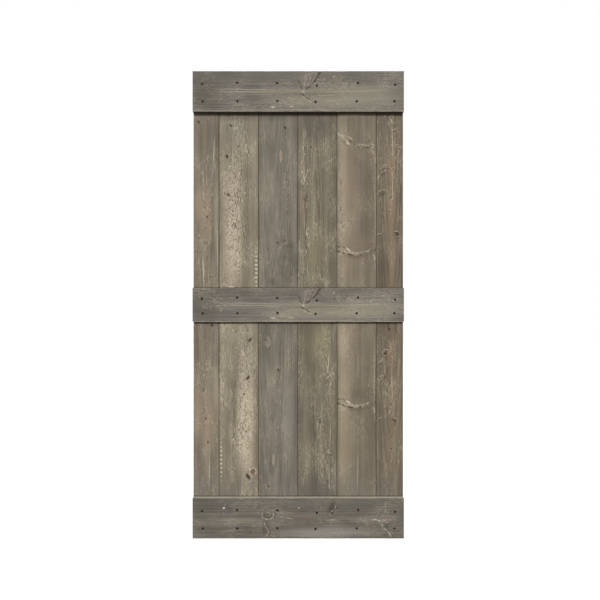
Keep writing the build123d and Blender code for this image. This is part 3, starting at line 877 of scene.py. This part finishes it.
boards["top_rail"] = fannedRail(7, 0.0, 184.15)
boards["mid_rail"] = fannedRail(7, 989.3, 155.0)
boards["bottom_rail"] = {
    "seed": 9, "tones": ("#57524a", "#6c675d", "#89827a"), "pith": (2060, 120), "aslant": 0.004,
    "ringGap": 6.0, "sway": 7, "ripple": 1.6, "flecks": 0.3, "ring": 0.2, "broad": 0.5, "middle": 0.45,
    "fibre": 0.7, "veins": 0.3, "rubbed": (-1, 0.9, 0.1, 0.55),
    "knots": [],
    "patches": [
        {"at": (-320, 1995), "size": (28, 46), "colour": "#5b5656", "amount": 0.7, "turn": 35},
        {"at": (0, 2058), "size": (460, 10), "colour": "#98907f", "amount": 0.7, "grit": "flecks"},
        {"at": (-270, 2050), "size": (150, 12), "colour": "#8f8879", "amount": 0.7},
        {"at": (130, 2105), "size": (300, 34), "colour": "#98918b", "amount": 0.75},
        {"at": (30, 2030), "size": (150, 12), "colour": "#847468", "amount": 0.5},
        {"at": (340, 2050), "size": (140, 10), "colour": "#94897a", "amount": 0.6},
        {"at": (-150, 2085), "size": (22, 46), "colour": "#5d544c", "amount": 0.8},
        {"at": (150, 2010), "size": (26, 44), "colour": "#544e48", "amount": 0.7},
        {"at": (0, 1985), "size": (480, 30), "colour": "#67625a", "amount": 0.5},
    ],
    "marks": [
        {"at": (-339, 1994), "size": (6, 6), "colour": "#ece6d6", "amount": 0.95, "soft": 0.7},
        {"at": (3, 1994), "size": (7, 5), "colour": "#c2b9a7", "amount": 0.7, "soft": 0.8},
        strand((-334, 1996), (-318, 1968), 5, "dark", 0.6),
        strand((-338, 1988), (-326, 1970), 4, "pale", 0.5),
        strand((-342, 2010), (-340, 2030), 4, "tan", 0.6),
        {"at": (-141, 2029), "size": (33, 20), "colour": "#6a6457", "amount": 0.7, "soft": 0.6},
        *crooked([(-161, 2012), (-168, 2027), (-158, 2042), (-130, 2046), (-112, 2034), (-116, 2014)], 5, "pale", 0.6),
        *crooked([(-152, 2014), (-157, 2028), (-146, 2038), (-126, 2036), (-122, 2020)], 5, "dark", 0.8, -0.5),
        *crooked([(-144, 2018), (-134, 2014), (-128, 2024), (-138, 2031)], 4, "pale", 0.55),
        *crooked([(-108, 2012), (-104, 2028), (-112, 2044)], 6, "dark", 0.7, -0.4),
        {"at": (-140, 2026), "size": (7, 5), "colour": "#4c4438", "amount": 0.8, "soft": 0.8, "rise": -0.4},
        {"at": (-146, 2045), "size": (8, 6), "colour": "#aca18b", "amount": 0.75, "soft": 0.8},
        *crooked([(-154, 2058), (-152, 2077), (-139, 2091), (-135, 2107), (-148, 2124)], 6, "pale", 0.6, soft=0.9),
        *crooked([(-146, 2062), (-130, 2086), (-126, 2108), (-136, 2124)], 6, "dark", 0.7, -0.4),
        *crooked([(-164, 2074), (-158, 2100), (-160, 2124)], 6, "dark", 0.55),
        strand((-150, 2096), (-150, 2118), 6, "dark", 0.5),
        *crooked([(-92, 2030), (-58, 2037), (-24, 2044)], 4, "pale", 0.55),
        strand((-36, 2033), (56, 2032), 4, "rust", 0.35),
        strand((-36, 2029), (56, 2028), 3, "pale", 0.3),
        strand((-200, 2044), (-166, 2036), 5, "dark", 0.45),
        {"at": (156, 1992), "size": (23, 50), "colour": "#4f4a40", "amount": 0.7, "turn": -14, "soft": 0.8},
        *crooked([(138, 2028), (146, 2014), (166, 2001), (172, 1978)], 6, "pale", 0.6, soft=0.9),
        *crooked([(142, 2034), (162, 2022), (178, 1998)], 4, "pale", 0.45),
        *crooked([(150, 2022), (170, 2010), (180, 1984)], 6, "dark", 0.8, -0.5),
        *crooked([(140, 2004), (152, 1988), (156, 1966)], 5, "dark", 0.6),
        strand((134, 2048), (180, 2047), 5, "pale", 0.5),
        *crooked([(336, 2050), (354, 2044), (379, 2060), (386, 2086), (407, 2096), (427, 2128)], 6, "cream", 0.65, soft=0.9),
        {"at": (404, 2076), "size": (24, 16), "colour": "#514c40", "amount": 0.65, "turn": -45, "soft": 0.9},
        {"at": (352, 2046), "size": (7, 5), "colour": "#d8cdb6", "amount": 0.8, "soft": 0.8},
        strand((366, 2041), (434, 2041), 5, "rust", 0.35),
        strand((366, 2045), (470, 2046), 3, "pale", 0.4),
        {"at": (398, 2118), "size": (16, 10), "colour": "#57513f", "amount": 0.5, "soft": 0.9},
        strand((-230, 2112), (-210, 2096), 7, "dark", 0.8),
        strand((-360, 2066), (-190, 2058), 3, "pale", 0.5),
        *crooked([(400, 1964), (398, 1990), (393, 2022)], 5, "pale", 0.35),
        strand((412, 1972), (462, 1970), 8, "shade", 0.7),
        strand((-20, 2060), (300, 2063), 3, "pale", 0.35),
        strand((-200, 2128), (20, 2130), 5, "dark", 0.4),
        *crooked([(120, 2050), (220, 2056), (320, 2058)], 4, "pale", 0.35),
        strand((100, 1975), (108, 2010), 10, "tan", 0.25),
    ],
}

# Relief of the boards, in mm: how far knots, lips of grain and rubbed arrises leave the flat. A board's
# front is cut into short steps, finer where something stands out of it.
relief = {
    "stepAcross": 3.5, "stepAlong": 5.0, "fineStep": 2.0,
    "ripple": 0.25, "rippleWidth": 9.0, "rippleLength": 110.0,
    "rubbed": 0.9, "rubbedLength": 22.0,
}

# The boards' sections and holes, as the CAD has them
section = {
    "frontBevel": 1.8, "backBevel": 0.9, "arris": 1.6, "tongueLength": 6.0, "tongueThickness": 6.0,
    "tongueNose": 1.0, "grooveDepth": 6.4, "grooveWidth": 6.5,
    "holeRadius": 2.3, "countersinkRadius": 5.2, "countersinkAngle": 82.0, "boreLength": 44.0,
    "holeSides": 40,
}

# Painted shade on the planks beside the rails, a painted shadow below the top rail, the greyer stain at their foot and
# the darker wood round a screw, in mm
grimeAndShade = {
    "aboveRail": 7.0, "belowRail": 4.0, "strength": 0.8,
    "shadowBelow": 6.0, "shadowHeight": 15.0,
    "footMiddle": 175.0, "footHeight": 180.0, "footColour": "#6d6a65", "footStrength": 0.3,
    "screwRadius": 8.0, "screwStrength": 0.75,
    "wide": 3000.0,  # past both sides of the door
}


def steps(start, end, size, fineSpots=()):  # places from start to end, closer together near fine spots
    places = [start]
    while end - places[-1] > 1.4 * size:
        here = places[-1]
        fine = any(abs(here - spot) < reach for spot, reach in fineSpots)
        places.append(here + (relief["fineStep"] if fine else size))
    return places + [end]


def plankOutline(name):  # round the section: x, y, whether it is front, and the way in when rubbed
    low, high = (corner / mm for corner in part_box(name))
    tongued = name != plankNames[-1]
    left = low.x
    right = high.x - (section["tongueLength"] if tongued else 0.0)
    front, back, middle = low.y, high.y, 0.5 * (low.y + high.y)
    bevel, backBevel = section["frontBevel"], section["backBevel"]
    rubbedAt = {left + bevel: 0.3, right - bevel: -0.3}
    outline = [(left, front + bevel, 0, 0.0, 0.3)]
    for x in steps(left + bevel, right - bevel, relief["stepAcross"]):
        outline.append((x, front, 1, rubbedAt.get(x, 0.0), 0.7 if x in rubbedAt else 0.0))
    outline.append((right, front + bevel, 0, 0.0, 0.3))
    corners = []
    if tongued:
        half, nose, tip = 0.5 * section["tongueThickness"], section["tongueNose"], high.x
        corners += [(right, middle - half), (tip - nose, middle - half), (tip, middle - half + nose),
                    (tip, middle + half - nose), (tip - nose, middle + half), (right, middle + half)]
    corners += [(right, back - backBevel), (right - backBevel, back), (left + backBevel, back),
                (left, back - backBevel)]
    if name != plankNames[0]:
        half, deep = 0.5 * section["grooveWidth"], left + section["grooveDepth"]
        corners += [(left, middle + half), (deep, middle + half), (deep, middle - half),
                    (left, middle - half)]
    return outline + [(x, y, 0, 0.0, 0.0) for x, y in corners]


def railOutline(name, marks):  # the same for a rail, as down, y and the rest
    low, high = (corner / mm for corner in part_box(name))
    top, bottom, front, back = doorTop - high.z, doorTop - low.z, low.y, high.y
    arris = section["arris"]
    fineSpots = [(mark["at"][1], 6.0) for mark in marks]
    outline = [(down, front, 1, 0.0, 0.0)
               for down in steps(top + arris, bottom - arris, relief["stepAcross"], fineSpots)]
    turns = [math.radians(angle) for angle in (30, 60, 90)]
    outline += [(bottom - arris + arris * math.sin(a), front + arris * (1 - math.cos(a)), 0,
                 -math.sin(a), math.cos(a)) for a in turns]
    outline += [(bottom, back, 0, 0.0, 0.0), (top, back, 0, 0.0, 0.0)]
    outline += [(top + arris - arris * math.sin(a), front + arris * (1 - math.cos(a)), 0,
                 math.sin(a), math.cos(a)) for a in reversed(turns)]
    return outline


def sweptMesh(name, outline, stations, covers, alongX):  # the outline at every station, its ends closed
    low, high = (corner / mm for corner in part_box(name))
    arris = section["arris"]
    spots, fronts, inwards = [], [], []
    for station in stations:
        shown = not any(start - 2 < station < end + 2 for start, end in covers)
        sunk = 0.0
        if alongX:
            toEnd = max(0.0, min(station - low.x, high.x - station))
            shown = toEnd > arris
            sunk = low.y + arris - math.sqrt(arris ** 2 - max(0.0, arris - toEnd) ** 2)
        for across, depth, front, inwardAcross, inwardDepth in outline:
            if alongX:
                spots.append((station * mm, max(depth, sunk) * mm, (doorTop - across) * mm))
                inwards.extend((0.0, inwardDepth, -inwardAcross))
            else:
                spots.append((across * mm, depth * mm, (doorTop - station) * mm))
                inwards.extend((inwardAcross, inwardDepth, 0.0))
            fronts.append(float(front and shown))
    count = len(outline)
    faces = [list(range(count)), list(range(len(spots) - count, len(spots)))]
    for ring in range(0, len(spots) - count, count):
        for k in range(count):
            after = (k + 1) % count
            faces.append((ring + k, ring + after, ring + count + after, ring + count + k))
    mesh = bpy.data.meshes.new(name + " start")
    mesh.from_pydata(spots, [], faces)
    shape = bmesh.new()
    shape.from_mesh(mesh)
    bmesh.ops.recalc_face_normals(shape, faces=shape.faces)
    shape.to_mesh(mesh)
    shape.free()
    mesh.attributes.new("front", "FLOAT", "POINT").data.foreach_set("value", fronts)
    mesh.attributes.new("inward", "FLOAT_VECTOR", "POINT").data.foreach_set("vector", inwards)
    return mesh


def raisedMarks(board, alongX):  # what stands out of a board's face or lies below it
    marks = [mark for mark in board["marks"] if mark.get("rise")]
    for knot in board["knots"]:
        x, down, radius, stretch, turn = (*knot, 0)[:5]
        for share, rise in ((1.35, -0.5), (0.9, 0.9)):  # a dip all round, and the heart proud in it
            size = (share * radius, share * radius * stretch)
            marks.append(dict(at=(x, down), size=size[::-1] if alongX else size,
                              turn=-turn if alongX else turn, rise=rise, soft=0.7))
    return marks


def makeReliefTree(name, marks, alongX):
    tree, given, result = newGroup(
        name, "GeometryNodeTree",
        [("Geometry", "NodeSocketGeometry", None), ("Ripple", "NodeSocketFloat", 0.0),
         ("Rubbed", "NodeSocketFloat", 0.0), ("Rise", "NodeSocketFloat", 1.0), ("Seed", "NodeSocketInt", 0),
         ("Holes", "NodeSocketObject", None), ("Material", "NodeSocketMaterial", None)],
        [("Geometry", "NodeSocketGeometry")])
    add = partial(addNode, tree)
    size = given.outputs
    face = add("ShaderNodeVectorMath", {0: add("GeometryNodeInputPosition"), 1: (1 / mm, 1 / mm, -1 / mm),
                                        2: (0, 0, doorTop)}, operation="MULTIPLY_ADD")
    grain = face
    if alongX:
        parts = add("ShaderNodeSeparateXYZ", {0: face}).outputs
        grain = add("ShaderNodeCombineXYZ", {"X": parts["Z"], "Y": parts["Y"], "Z": parts["X"]})
    seeds = add("ShaderNodeCombineXYZ", {"X": size["Seed"], "Y": size["Seed"], "Z": size["Seed"]})
    shifted = add("ShaderNodeVectorMath", {0: seeds, 1: stain["seedStep"], 2: grain},
                  operation="MULTIPLY_ADD")
    shakenFace = shaken(add, shifted, face)

    def noise(sizes, detail):
        drawn = add("ShaderNodeVectorMath", {0: shifted, 1: [1 / s for s in sizes]}, operation="MULTIPLY")
        return add("ShaderNodeTexNoise", {"Vector": drawn, "Scale": 1.0, "Detail": detail}).outputs["Fac"]

    ripples = noise((relief["rippleWidth"], relief["rippleWidth"], relief["rippleLength"]), 2.0)
    sunk = add("ShaderNodeMath", {0: ripples, 1: size["Ripple"]}, operation="MULTIPLY")
    rise = None
    for mark in marks:
        node = add("GeometryNodeGroup", node_tree=riseGroup)
        placeMark(node, mark, shakenFace)
        node.inputs["Height"].default_value = mark["rise"]
        if rise is not None:
            tree.links.new(rise, node.inputs["Rise"])
        rise = node.outputs["Rise"]
    if rise is not None:
        lifted = add("ShaderNodeMath", {0: rise, 1: size["Rise"]}, operation="MULTIPLY")
        sunk = add("ShaderNodeMath", {0: sunk, 1: lifted}, operation="SUBTRACT")
    if alongX:  # a rail's front is the door's own, so nothing stands out of it
        sunk = add("ShaderNodeMath", {0: sunk, 1: 0.0}, operation="MAXIMUM")
    front = add("GeometryNodeInputNamedAttribute", {"Name": "front"}, data_type="FLOAT")
    frontShift = add("ShaderNodeMath", {0: front, 1: sunk}, operation="MULTIPLY")
    rub = add("ShaderNodeMapRange", {"Value": noise([relief["rubbedLength"]] * 3, 3.0), "From Min": 0.48,
                                     "From Max": 0.75, "To Max": size["Rubbed"]})
    inward = add("GeometryNodeInputNamedAttribute", {"Name": "inward"}, data_type="FLOAT_VECTOR")
    rubShift = add("ShaderNodeVectorMath", {0: inward, "Scale": rub}, operation="SCALE")
    shift = add("ShaderNodeVectorMath", {0: rubShift, 1: add("ShaderNodeCombineXYZ", {"Y": frontShift})},
                operation="ADD")
    shift = add("ShaderNodeVectorMath", {0: shift, "Scale": mm}, operation="SCALE")
    shaped = add("GeometryNodeSetPosition", {"Geometry": size["Geometry"], "Offset": shift})
    if alongX:
        slope = math.tan(math.radians(0.5 * section["countersinkAngle"]))
        deep = (section["countersinkRadius"] - section["holeRadius"]) / slope
        cone = add("GeometryNodeMeshCone", {
            "Vertices": section["holeSides"], "Radius Top": section["holeRadius"] * mm,
            "Depth": (deep + 1) * mm,
            "Radius Bottom": (section["countersinkRadius"] + slope) * mm})
        cone = add("GeometryNodeTransform", {"Geometry": cone.outputs["Mesh"], "Translation": (0, 0, -mm)})
        bore = add("GeometryNodeMeshCylinder", {"Vertices": section["holeSides"],
                                                "Radius": section["holeRadius"] * mm,
                                                "Depth": section["boreLength"] * mm})
        drill = add("GeometryNodeMeshBoolean", {1: cone}, operation="UNION", solver="EXACT")
        tree.links.new(bore.outputs["Mesh"], drill.inputs[1])
        laid = add("GeometryNodeTransform", {"Geometry": drill.outputs["Mesh"],
                                             "Rotation": (-math.pi / 2, 0, 0)})
        marked = add("GeometryNodeObjectInfo", {"Object": size["Holes"]})
        drills = add("GeometryNodeInstanceOnPoints", {"Points": marked.outputs["Geometry"], "Instance": laid})
        drills = add("GeometryNodeRealizeInstances", {"Geometry": drills})
        shaped = add("GeometryNodeMeshBoolean", {0: shaped, 1: drills}, operation="DIFFERENCE",
                     solver="EXACT")
    solid = add("GeometryNodeRealizeInstances", {"Geometry": shaped})
    stained = add("GeometryNodeSetMaterial", {"Geometry": solid, "Material": size["Material"]})
    tree.links.new(stained.outputs["Geometry"], result.inputs["Geometry"])
    return tree


def grown(name, startMesh, tree, values):  # the plain mesh that a node tree makes of a start mesh
    piece = bpy.data.objects.new(name, startMesh)
    bpy.context.scene.collection.objects.link(piece)
    modifier = piece.modifiers.new("nodes", "NODES")
    modifier.node_group = tree
    for item in tree.interface.items_tree:
        if item.in_out == "INPUT" and item.name in values:
            modifier[item.identifier] = values[item.name]
    depsgraph = bpy.context.evaluated_depsgraph_get()
    finished = bpy.data.meshes.new_from_object(piece.evaluated_get(depsgraph), depsgraph=depsgraph,
                                               preserve_all_data_layers=True)
    while finished.materials and finished.materials[0] is None:  # a Boolean leaves an empty slot first
        finished.materials.pop(index=0)
    piece.modifiers.remove(modifier)
    piece.data = finished
    return piece


def holeCentres(name):  # where the rail's screw holes come out at its back
    low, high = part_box(name)
    margin = 8 * mm  # wider than a hole, and less than the way to the next one or to an edge
    rims = []
    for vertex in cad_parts[name].data.vertices:
        spot = vertex.co
        inside = low.x + margin < spot.x < high.x - margin and low.z + margin < spot.z < high.z - margin
        if inside and abs(spot.y - high.y) < 0.01 * mm:
            rim = next((r for r in rims if (r[0] - spot).length < margin), None)
            if rim is None:
                rims.append([spot.copy()])
            else:
                rim.append(spot.copy())
    centres = []
    for rim in rims:
        xs = [p.x for p in rim]
        zs = [p.z for p in rim]
        centres.append(Vector((0.5 * (min(xs) + max(xs)), 0, 0.5 * (min(zs) + max(zs)))))
    return centres


def pointsObject(name, places):
    mesh = bpy.data.meshes.new(name)
    mesh.from_pydata(places, [], [])
    marker = bpy.data.objects.new(name, mesh)
    bpy.context.scene.collection.objects.link(marker)
    return marker


def railSpans():  # each rail's top and bottom edge, down from the door's top
    return [(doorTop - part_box(name)[1].z / mm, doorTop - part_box(name)[0].z / mm) for name in railNames]


print("boards")
holes = {name: holeCentres(name) for name in railNames}
doorHeight = doorTop - doorBottom
for name in plankNames + railNames:
    board = boards[name]
    low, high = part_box(name)
    alongX = name in railNames
    if alongX:
        edges = (doorTop - high.z / mm, doorTop - low.z / mm)
        for hole in holes[name]:  # the wood round a screw is drawn darker
            board["marks"].append(oval((hole.x / mm, doorTop - hole.z / mm), [grimeAndShade["screwRadius"]] * 2,
                                       tints["dark"], grimeAndShade["screwStrength"], soft=0.5))
    else:
        tongue = section["tongueLength"] if name != plankNames[-1] else 0.0
        edges = (low.x / mm, high.x / mm - tongue)
        for top, bottom in railSpans():  # painted shade on the planks where the rails meet them
            for down, thick in ((top, grimeAndShade["aboveRail"]), (bottom, grimeAndShade["belowRail"])):
                board["marks"].append(oval((0, down), (grimeAndShade["wide"], thick), stain["dirtAndShade"],
                                           grimeAndShade["strength"], soft=1.0))
        topRailBottom = railSpans()[-1][1]
        # a painted shadow on the planks right below the top rail
        board["marks"].append(oval((0, topRailBottom + grimeAndShade["shadowBelow"]),
                                   (grimeAndShade["wide"], grimeAndShade["shadowHeight"]), stain["dirtAndShade"], board["underRailShadow"],
                                   soft=0.9))
        # the stain lies thicker and greyer on the foot of the planks
        board["patches"].append(oval((0, doorHeight - grimeAndShade["footMiddle"]),
                                     (grimeAndShade["wide"], grimeAndShade["footHeight"]), grimeAndShade["footColour"],
                                     grimeAndShade["footStrength"]))
    pine = stainedPine("grey-stained pine " + name.replace("_", " "), board, *edges, low.y / mm, alongX)
    marks = raisedMarks(board, alongX)
    values = {"Ripple": relief["ripple"], "Rubbed": relief["rubbed"], "Seed": board["seed"], "Material": pine}
    marker = None
    if alongX:
        outline = railOutline(name, marks)
        left, right, arris = low.x / mm, high.x / mm, section["arris"]
        ends = [0.0, 0.12 * arris, 0.45 * arris]
        stations = [left + gap for gap in ends]
        stations += steps(left + arris, right - arris, relief["stepAlong"],
                          [(mark["at"][0], 0.6 * mark["size"][0] + 6) for mark in marks])
        stations += [right - gap for gap in reversed(ends)]
        covers = []
        marker = pointsObject(name + " holes", holes[name])
        values["Holes"] = marker
    else:
        outline = plankOutline(name)
        covers = railSpans()
        stations = steps(0.0, doorHeight, relief["stepAlong"],
                         [(mark["at"][1], min(40.0, 0.6 * mark["size"][1] + 8)) for mark in marks])
    start = sweptMesh(name, outline, stations, covers, alongX)
    piece = grown(name + "_wood", start, makeReliefTree("relief of " + name, marks, alongX), values)
    if marker:
        bpy.data.objects.remove(marker)
    for attribute in ("front", "inward"):
        piece.data.attributes.remove(piece.data.attributes[attribute])
    piece.data.shade_smooth()
    piece.data.set_sharp_from_angle(angle=math.radians(35))
    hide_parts(name)
    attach(piece, "root")
    print(name, "faces:", len(piece.data.polygons))

# Flat-head wood screws, black phosphate coated steel: nearly black and dull, with a square socket.
screw = {
    "headRadius": 4.7, "headDepth": 2.9, "shankRadius": 2.1, "shankLength": 26.0, "sink": 0.5,
    "socketWidth": 3.0, "socketDepth": 2.2, "sides": 32, "seed": 5,
}


def makeScrewTree():
    sizes = [("Head Radius", "NodeSocketFloat", 0.0), ("Head Depth", "NodeSocketFloat", 0.0),
             ("Shank Radius", "NodeSocketFloat", 0.0), ("Shank Length", "NodeSocketFloat", 0.0),
             ("Sink", "NodeSocketFloat", 0.0), ("Socket Width", "NodeSocketFloat", 0.0),
             ("Socket Depth", "NodeSocketFloat", 0.0), ("Seed", "NodeSocketInt", 0),
             ("Material", "NodeSocketMaterial", None)]
    tree, given, result = newGroup("square-drive screws", "GeometryNodeTree",
                                   [("Geometry", "NodeSocketGeometry", None)] + sizes,
                                   [("Geometry", "NodeSocketGeometry")])
    add = partial(addNode, tree)
    size = given.outputs
    # drawn standing on its head, then laid back so that it points into the door
    head = add("GeometryNodeMeshCone", {"Vertices": screw["sides"], "Radius Bottom": size["Head Radius"],
                                        "Radius Top": size["Shank Radius"], "Depth": size["Head Depth"]})
    middle = add("ShaderNodeMath", {0: size["Shank Length"], 1: 0.5, 2: size["Head Depth"]},
                 operation="MULTIPLY_ADD")
    lifted = add("ShaderNodeCombineXYZ", {"Z": add("ShaderNodeMath", {0: middle, 1: 0.1 * mm},
                                                   operation="SUBTRACT")})
    shank = add("GeometryNodeMeshCylinder", {"Vertices": screw["sides"], "Radius": size["Shank Radius"],
                                             "Depth": size["Shank Length"]})
    shank = add("GeometryNodeTransform", {"Geometry": shank.outputs["Mesh"], "Translation": lifted})
    body = add("GeometryNodeMeshBoolean", {1: head.outputs["Mesh"]}, operation="UNION", solver="EXACT")
    tree.links.new(shank.outputs["Geometry"], body.inputs[1])
    deep = add("ShaderNodeMath", {0: size["Socket Depth"], 1: 2.0}, operation="MULTIPLY")
    socketSize = add("ShaderNodeCombineXYZ", {"X": size["Socket Width"], "Y": size["Socket Width"],
                                              "Z": deep})
    socket = add("GeometryNodeMeshCube", {"Size": socketSize})
    cut = add("GeometryNodeMeshBoolean", {0: body.outputs["Mesh"], 1: socket.outputs["Mesh"]},
              operation="DIFFERENCE", solver="EXACT")
    inward = add("ShaderNodeCombineXYZ", {"Y": size["Sink"]})
    laid = add("GeometryNodeTransform", {"Geometry": cut.outputs["Mesh"], "Translation": inward,
                                         "Rotation": (-math.pi / 2, 0, 0)})
    spin = add("FunctionNodeRandomValue", {2: 0.0, 3: 2 * math.pi, 8: size["Seed"]}, data_type="FLOAT")
    turned = add("ShaderNodeCombineXYZ", {"Y": spin})
    driven = add("GeometryNodeInstanceOnPoints", {"Points": size["Geometry"], "Instance": laid,
                                                  "Rotation": turned})
    solid = add("GeometryNodeRealizeInstances", {"Geometry": driven})
    coated = add("GeometryNodeSetMaterial", {"Geometry": solid, "Material": size["Material"]})
    tree.links.new(coated.outputs["Geometry"], result.inputs["Geometry"])
    return tree


def phosphateSteel():
    material = bpy.data.materials.new("black phosphate coated steel")
    material.use_nodes = True
    tree = material.node_tree
    tree.nodes.clear()
    add = partial(addNode, tree)
    spot = add("ShaderNodeTexCoord")
    crystals = add("ShaderNodeTexNoise", {"Vector": spot.outputs["Object"], "Scale": 1 / (0.5 * mm),
                                          "Detail": 2.0})
    colour = add("ShaderNodeMix", {0: crystals, 6: linear("#0c0c0d"), 7: linear("#1c1b1a")},
                 data_type="RGBA")
    rough = add("ShaderNodeMapRange", {"Value": crystals.outputs["Fac"], "To Min": 0.55, "To Max": 0.8})
    bump = add("ShaderNodeBump", {"Height": crystals.outputs["Fac"], "Strength": 0.3, "Distance": 0.05 * mm})
    shader = add("ShaderNodeBsdfPrincipled", {"Base Color": colour.outputs[2], "Roughness": rough,
                                              "Normal": bump, "Specular IOR Level": 0.2})
    add("ShaderNodeOutputMaterial", {"Surface": shader})
    return material


print("screws")
holeMesh = bpy.data.meshes.new("screw holes")
holeMesh.from_pydata([centre for name in railNames for centre in holes[name]], [], [])
screws = grown("screws", holeMesh, makeScrewTree(), {
    "Head Radius": screw["headRadius"] * mm, "Head Depth": screw["headDepth"] * mm,
    "Shank Radius": screw["shankRadius"] * mm, "Shank Length": screw["shankLength"] * mm,
    "Sink": screw["sink"] * mm, "Socket Width": screw["socketWidth"] * mm,
    "Socket Depth": screw["socketDepth"] * mm, "Seed": screw["seed"], "Material": phosphateSteel()})
print("screws:", sum(len(places) for places in holes.values()), "faces:", len(screws.data.polygons))
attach(screws, "root")

print("light, floor and camera")
light = {
    "sun": 2.26, "sunSpread": 6.0, "sunHeight": 32.0, "sunSide": -6.0,  # degrees
    "skyTop": 0.55, "skyBottom": 0.05,  # the soft fill is stronger from above
    "floor": "#95938f", "floorGlow": 0.85, "floorReach": 9.0,  # metres each way
}
view = {"distance": 2.0, "lens": 26.3, "aside": 8.0, "height": -952.7}  # metres, mm, and mm from the origin


def seenStraight(add):  # 1 for what the camera sees itself, in a mirror or through glass
    ray = add("ShaderNodeLightPath").outputs
    seen = add("ShaderNodeMath", {0: ray["Is Camera Ray"], 1: ray["Is Glossy Ray"]}, operation="MAXIMUM")
    return add("ShaderNodeMath", {0: seen, 1: ray["Is Transmission Ray"]}, operation="MAXIMUM")


world = bpy.data.worlds.new("plain studio")
bpy.context.scene.world = world
world.use_nodes = True
world.node_tree.nodes.clear()
addWorld = partial(addNode, world.node_tree)
direction = addWorld("ShaderNodeTexCoord")
upward = addWorld("ShaderNodeSeparateXYZ", {0: direction.outputs["Generated"]})
fill = addWorld("ShaderNodeMapRange", {"Value": upward.outputs["Z"], "From Min": -1.0, "From Max": 1.0,
                                       "To Min": light["skyBottom"], "To Max": light["skyTop"]})
strength = addWorld("ShaderNodeMapRange", {"Value": seenStraight(addWorld), "To Min": fill,
                                           "To Max": 1.0})
sky = addWorld("ShaderNodeBackground", {"Color": (1, 1, 1, 1), "Strength": strength})
addWorld("ShaderNodeOutputWorld", {"Surface": sky})

sun = bpy.data.objects.new("softSun", bpy.data.lights.new("softSun", "SUN"))
sun.data.energy = light["sun"]
sun.data.angle = math.radians(light["sunSpread"])
sun.rotation_euler = (math.radians(90 - light["sunHeight"]), 0, math.radians(light["sunSide"]))
bpy.context.scene.collection.objects.link(sun)

floorMesh = bpy.data.meshes.new("floor")
reach = light["floorReach"]
floorHeight = doorBottom * mm
corners = [(-reach, -reach, floorHeight), (reach, -reach, floorHeight), (reach, reach, floorHeight),
           (-reach, reach, floorHeight)]
floorMesh.from_pydata(corners, [], [(0, 1, 2, 3)])
floor = bpy.data.objects.new("floor", floorMesh)
bpy.context.scene.collection.objects.link(floor)
paint = bpy.data.materials.new("matt white studio paint")
paint.use_nodes = True
paint.node_tree.nodes.clear()
addPaint = partial(addNode, paint.node_tree)
glow = addPaint("ShaderNodeMath", {0: seenStraight(addPaint), 1: light["floorGlow"]},
                operation="MULTIPLY")
matt = addPaint("ShaderNodeBsdfDiffuse", {"Color": linear(light["floor"])})
shine = addPaint("ShaderNodeEmission", {"Color": (1, 1, 1, 1), "Strength": glow})
both = addPaint("ShaderNodeAddShader", {0: matt, 1: shine})
addPaint("ShaderNodeOutputMaterial", {"Surface": both})
floorMesh.materials.append(paint)

camera = bpy.data.objects.new("camera", bpy.data.cameras.new("camera"))
camera.location = (view["aside"] * mm, -view["distance"], view["height"] * mm)
camera.rotation_euler = (math.radians(90), 0, 0)
camera.data.lens = view["lens"]
bpy.context.scene.collection.objects.link(camera)
bpy.context.scene.camera = camera
bpy.context.scene.view_settings.view_transform = "Standard"
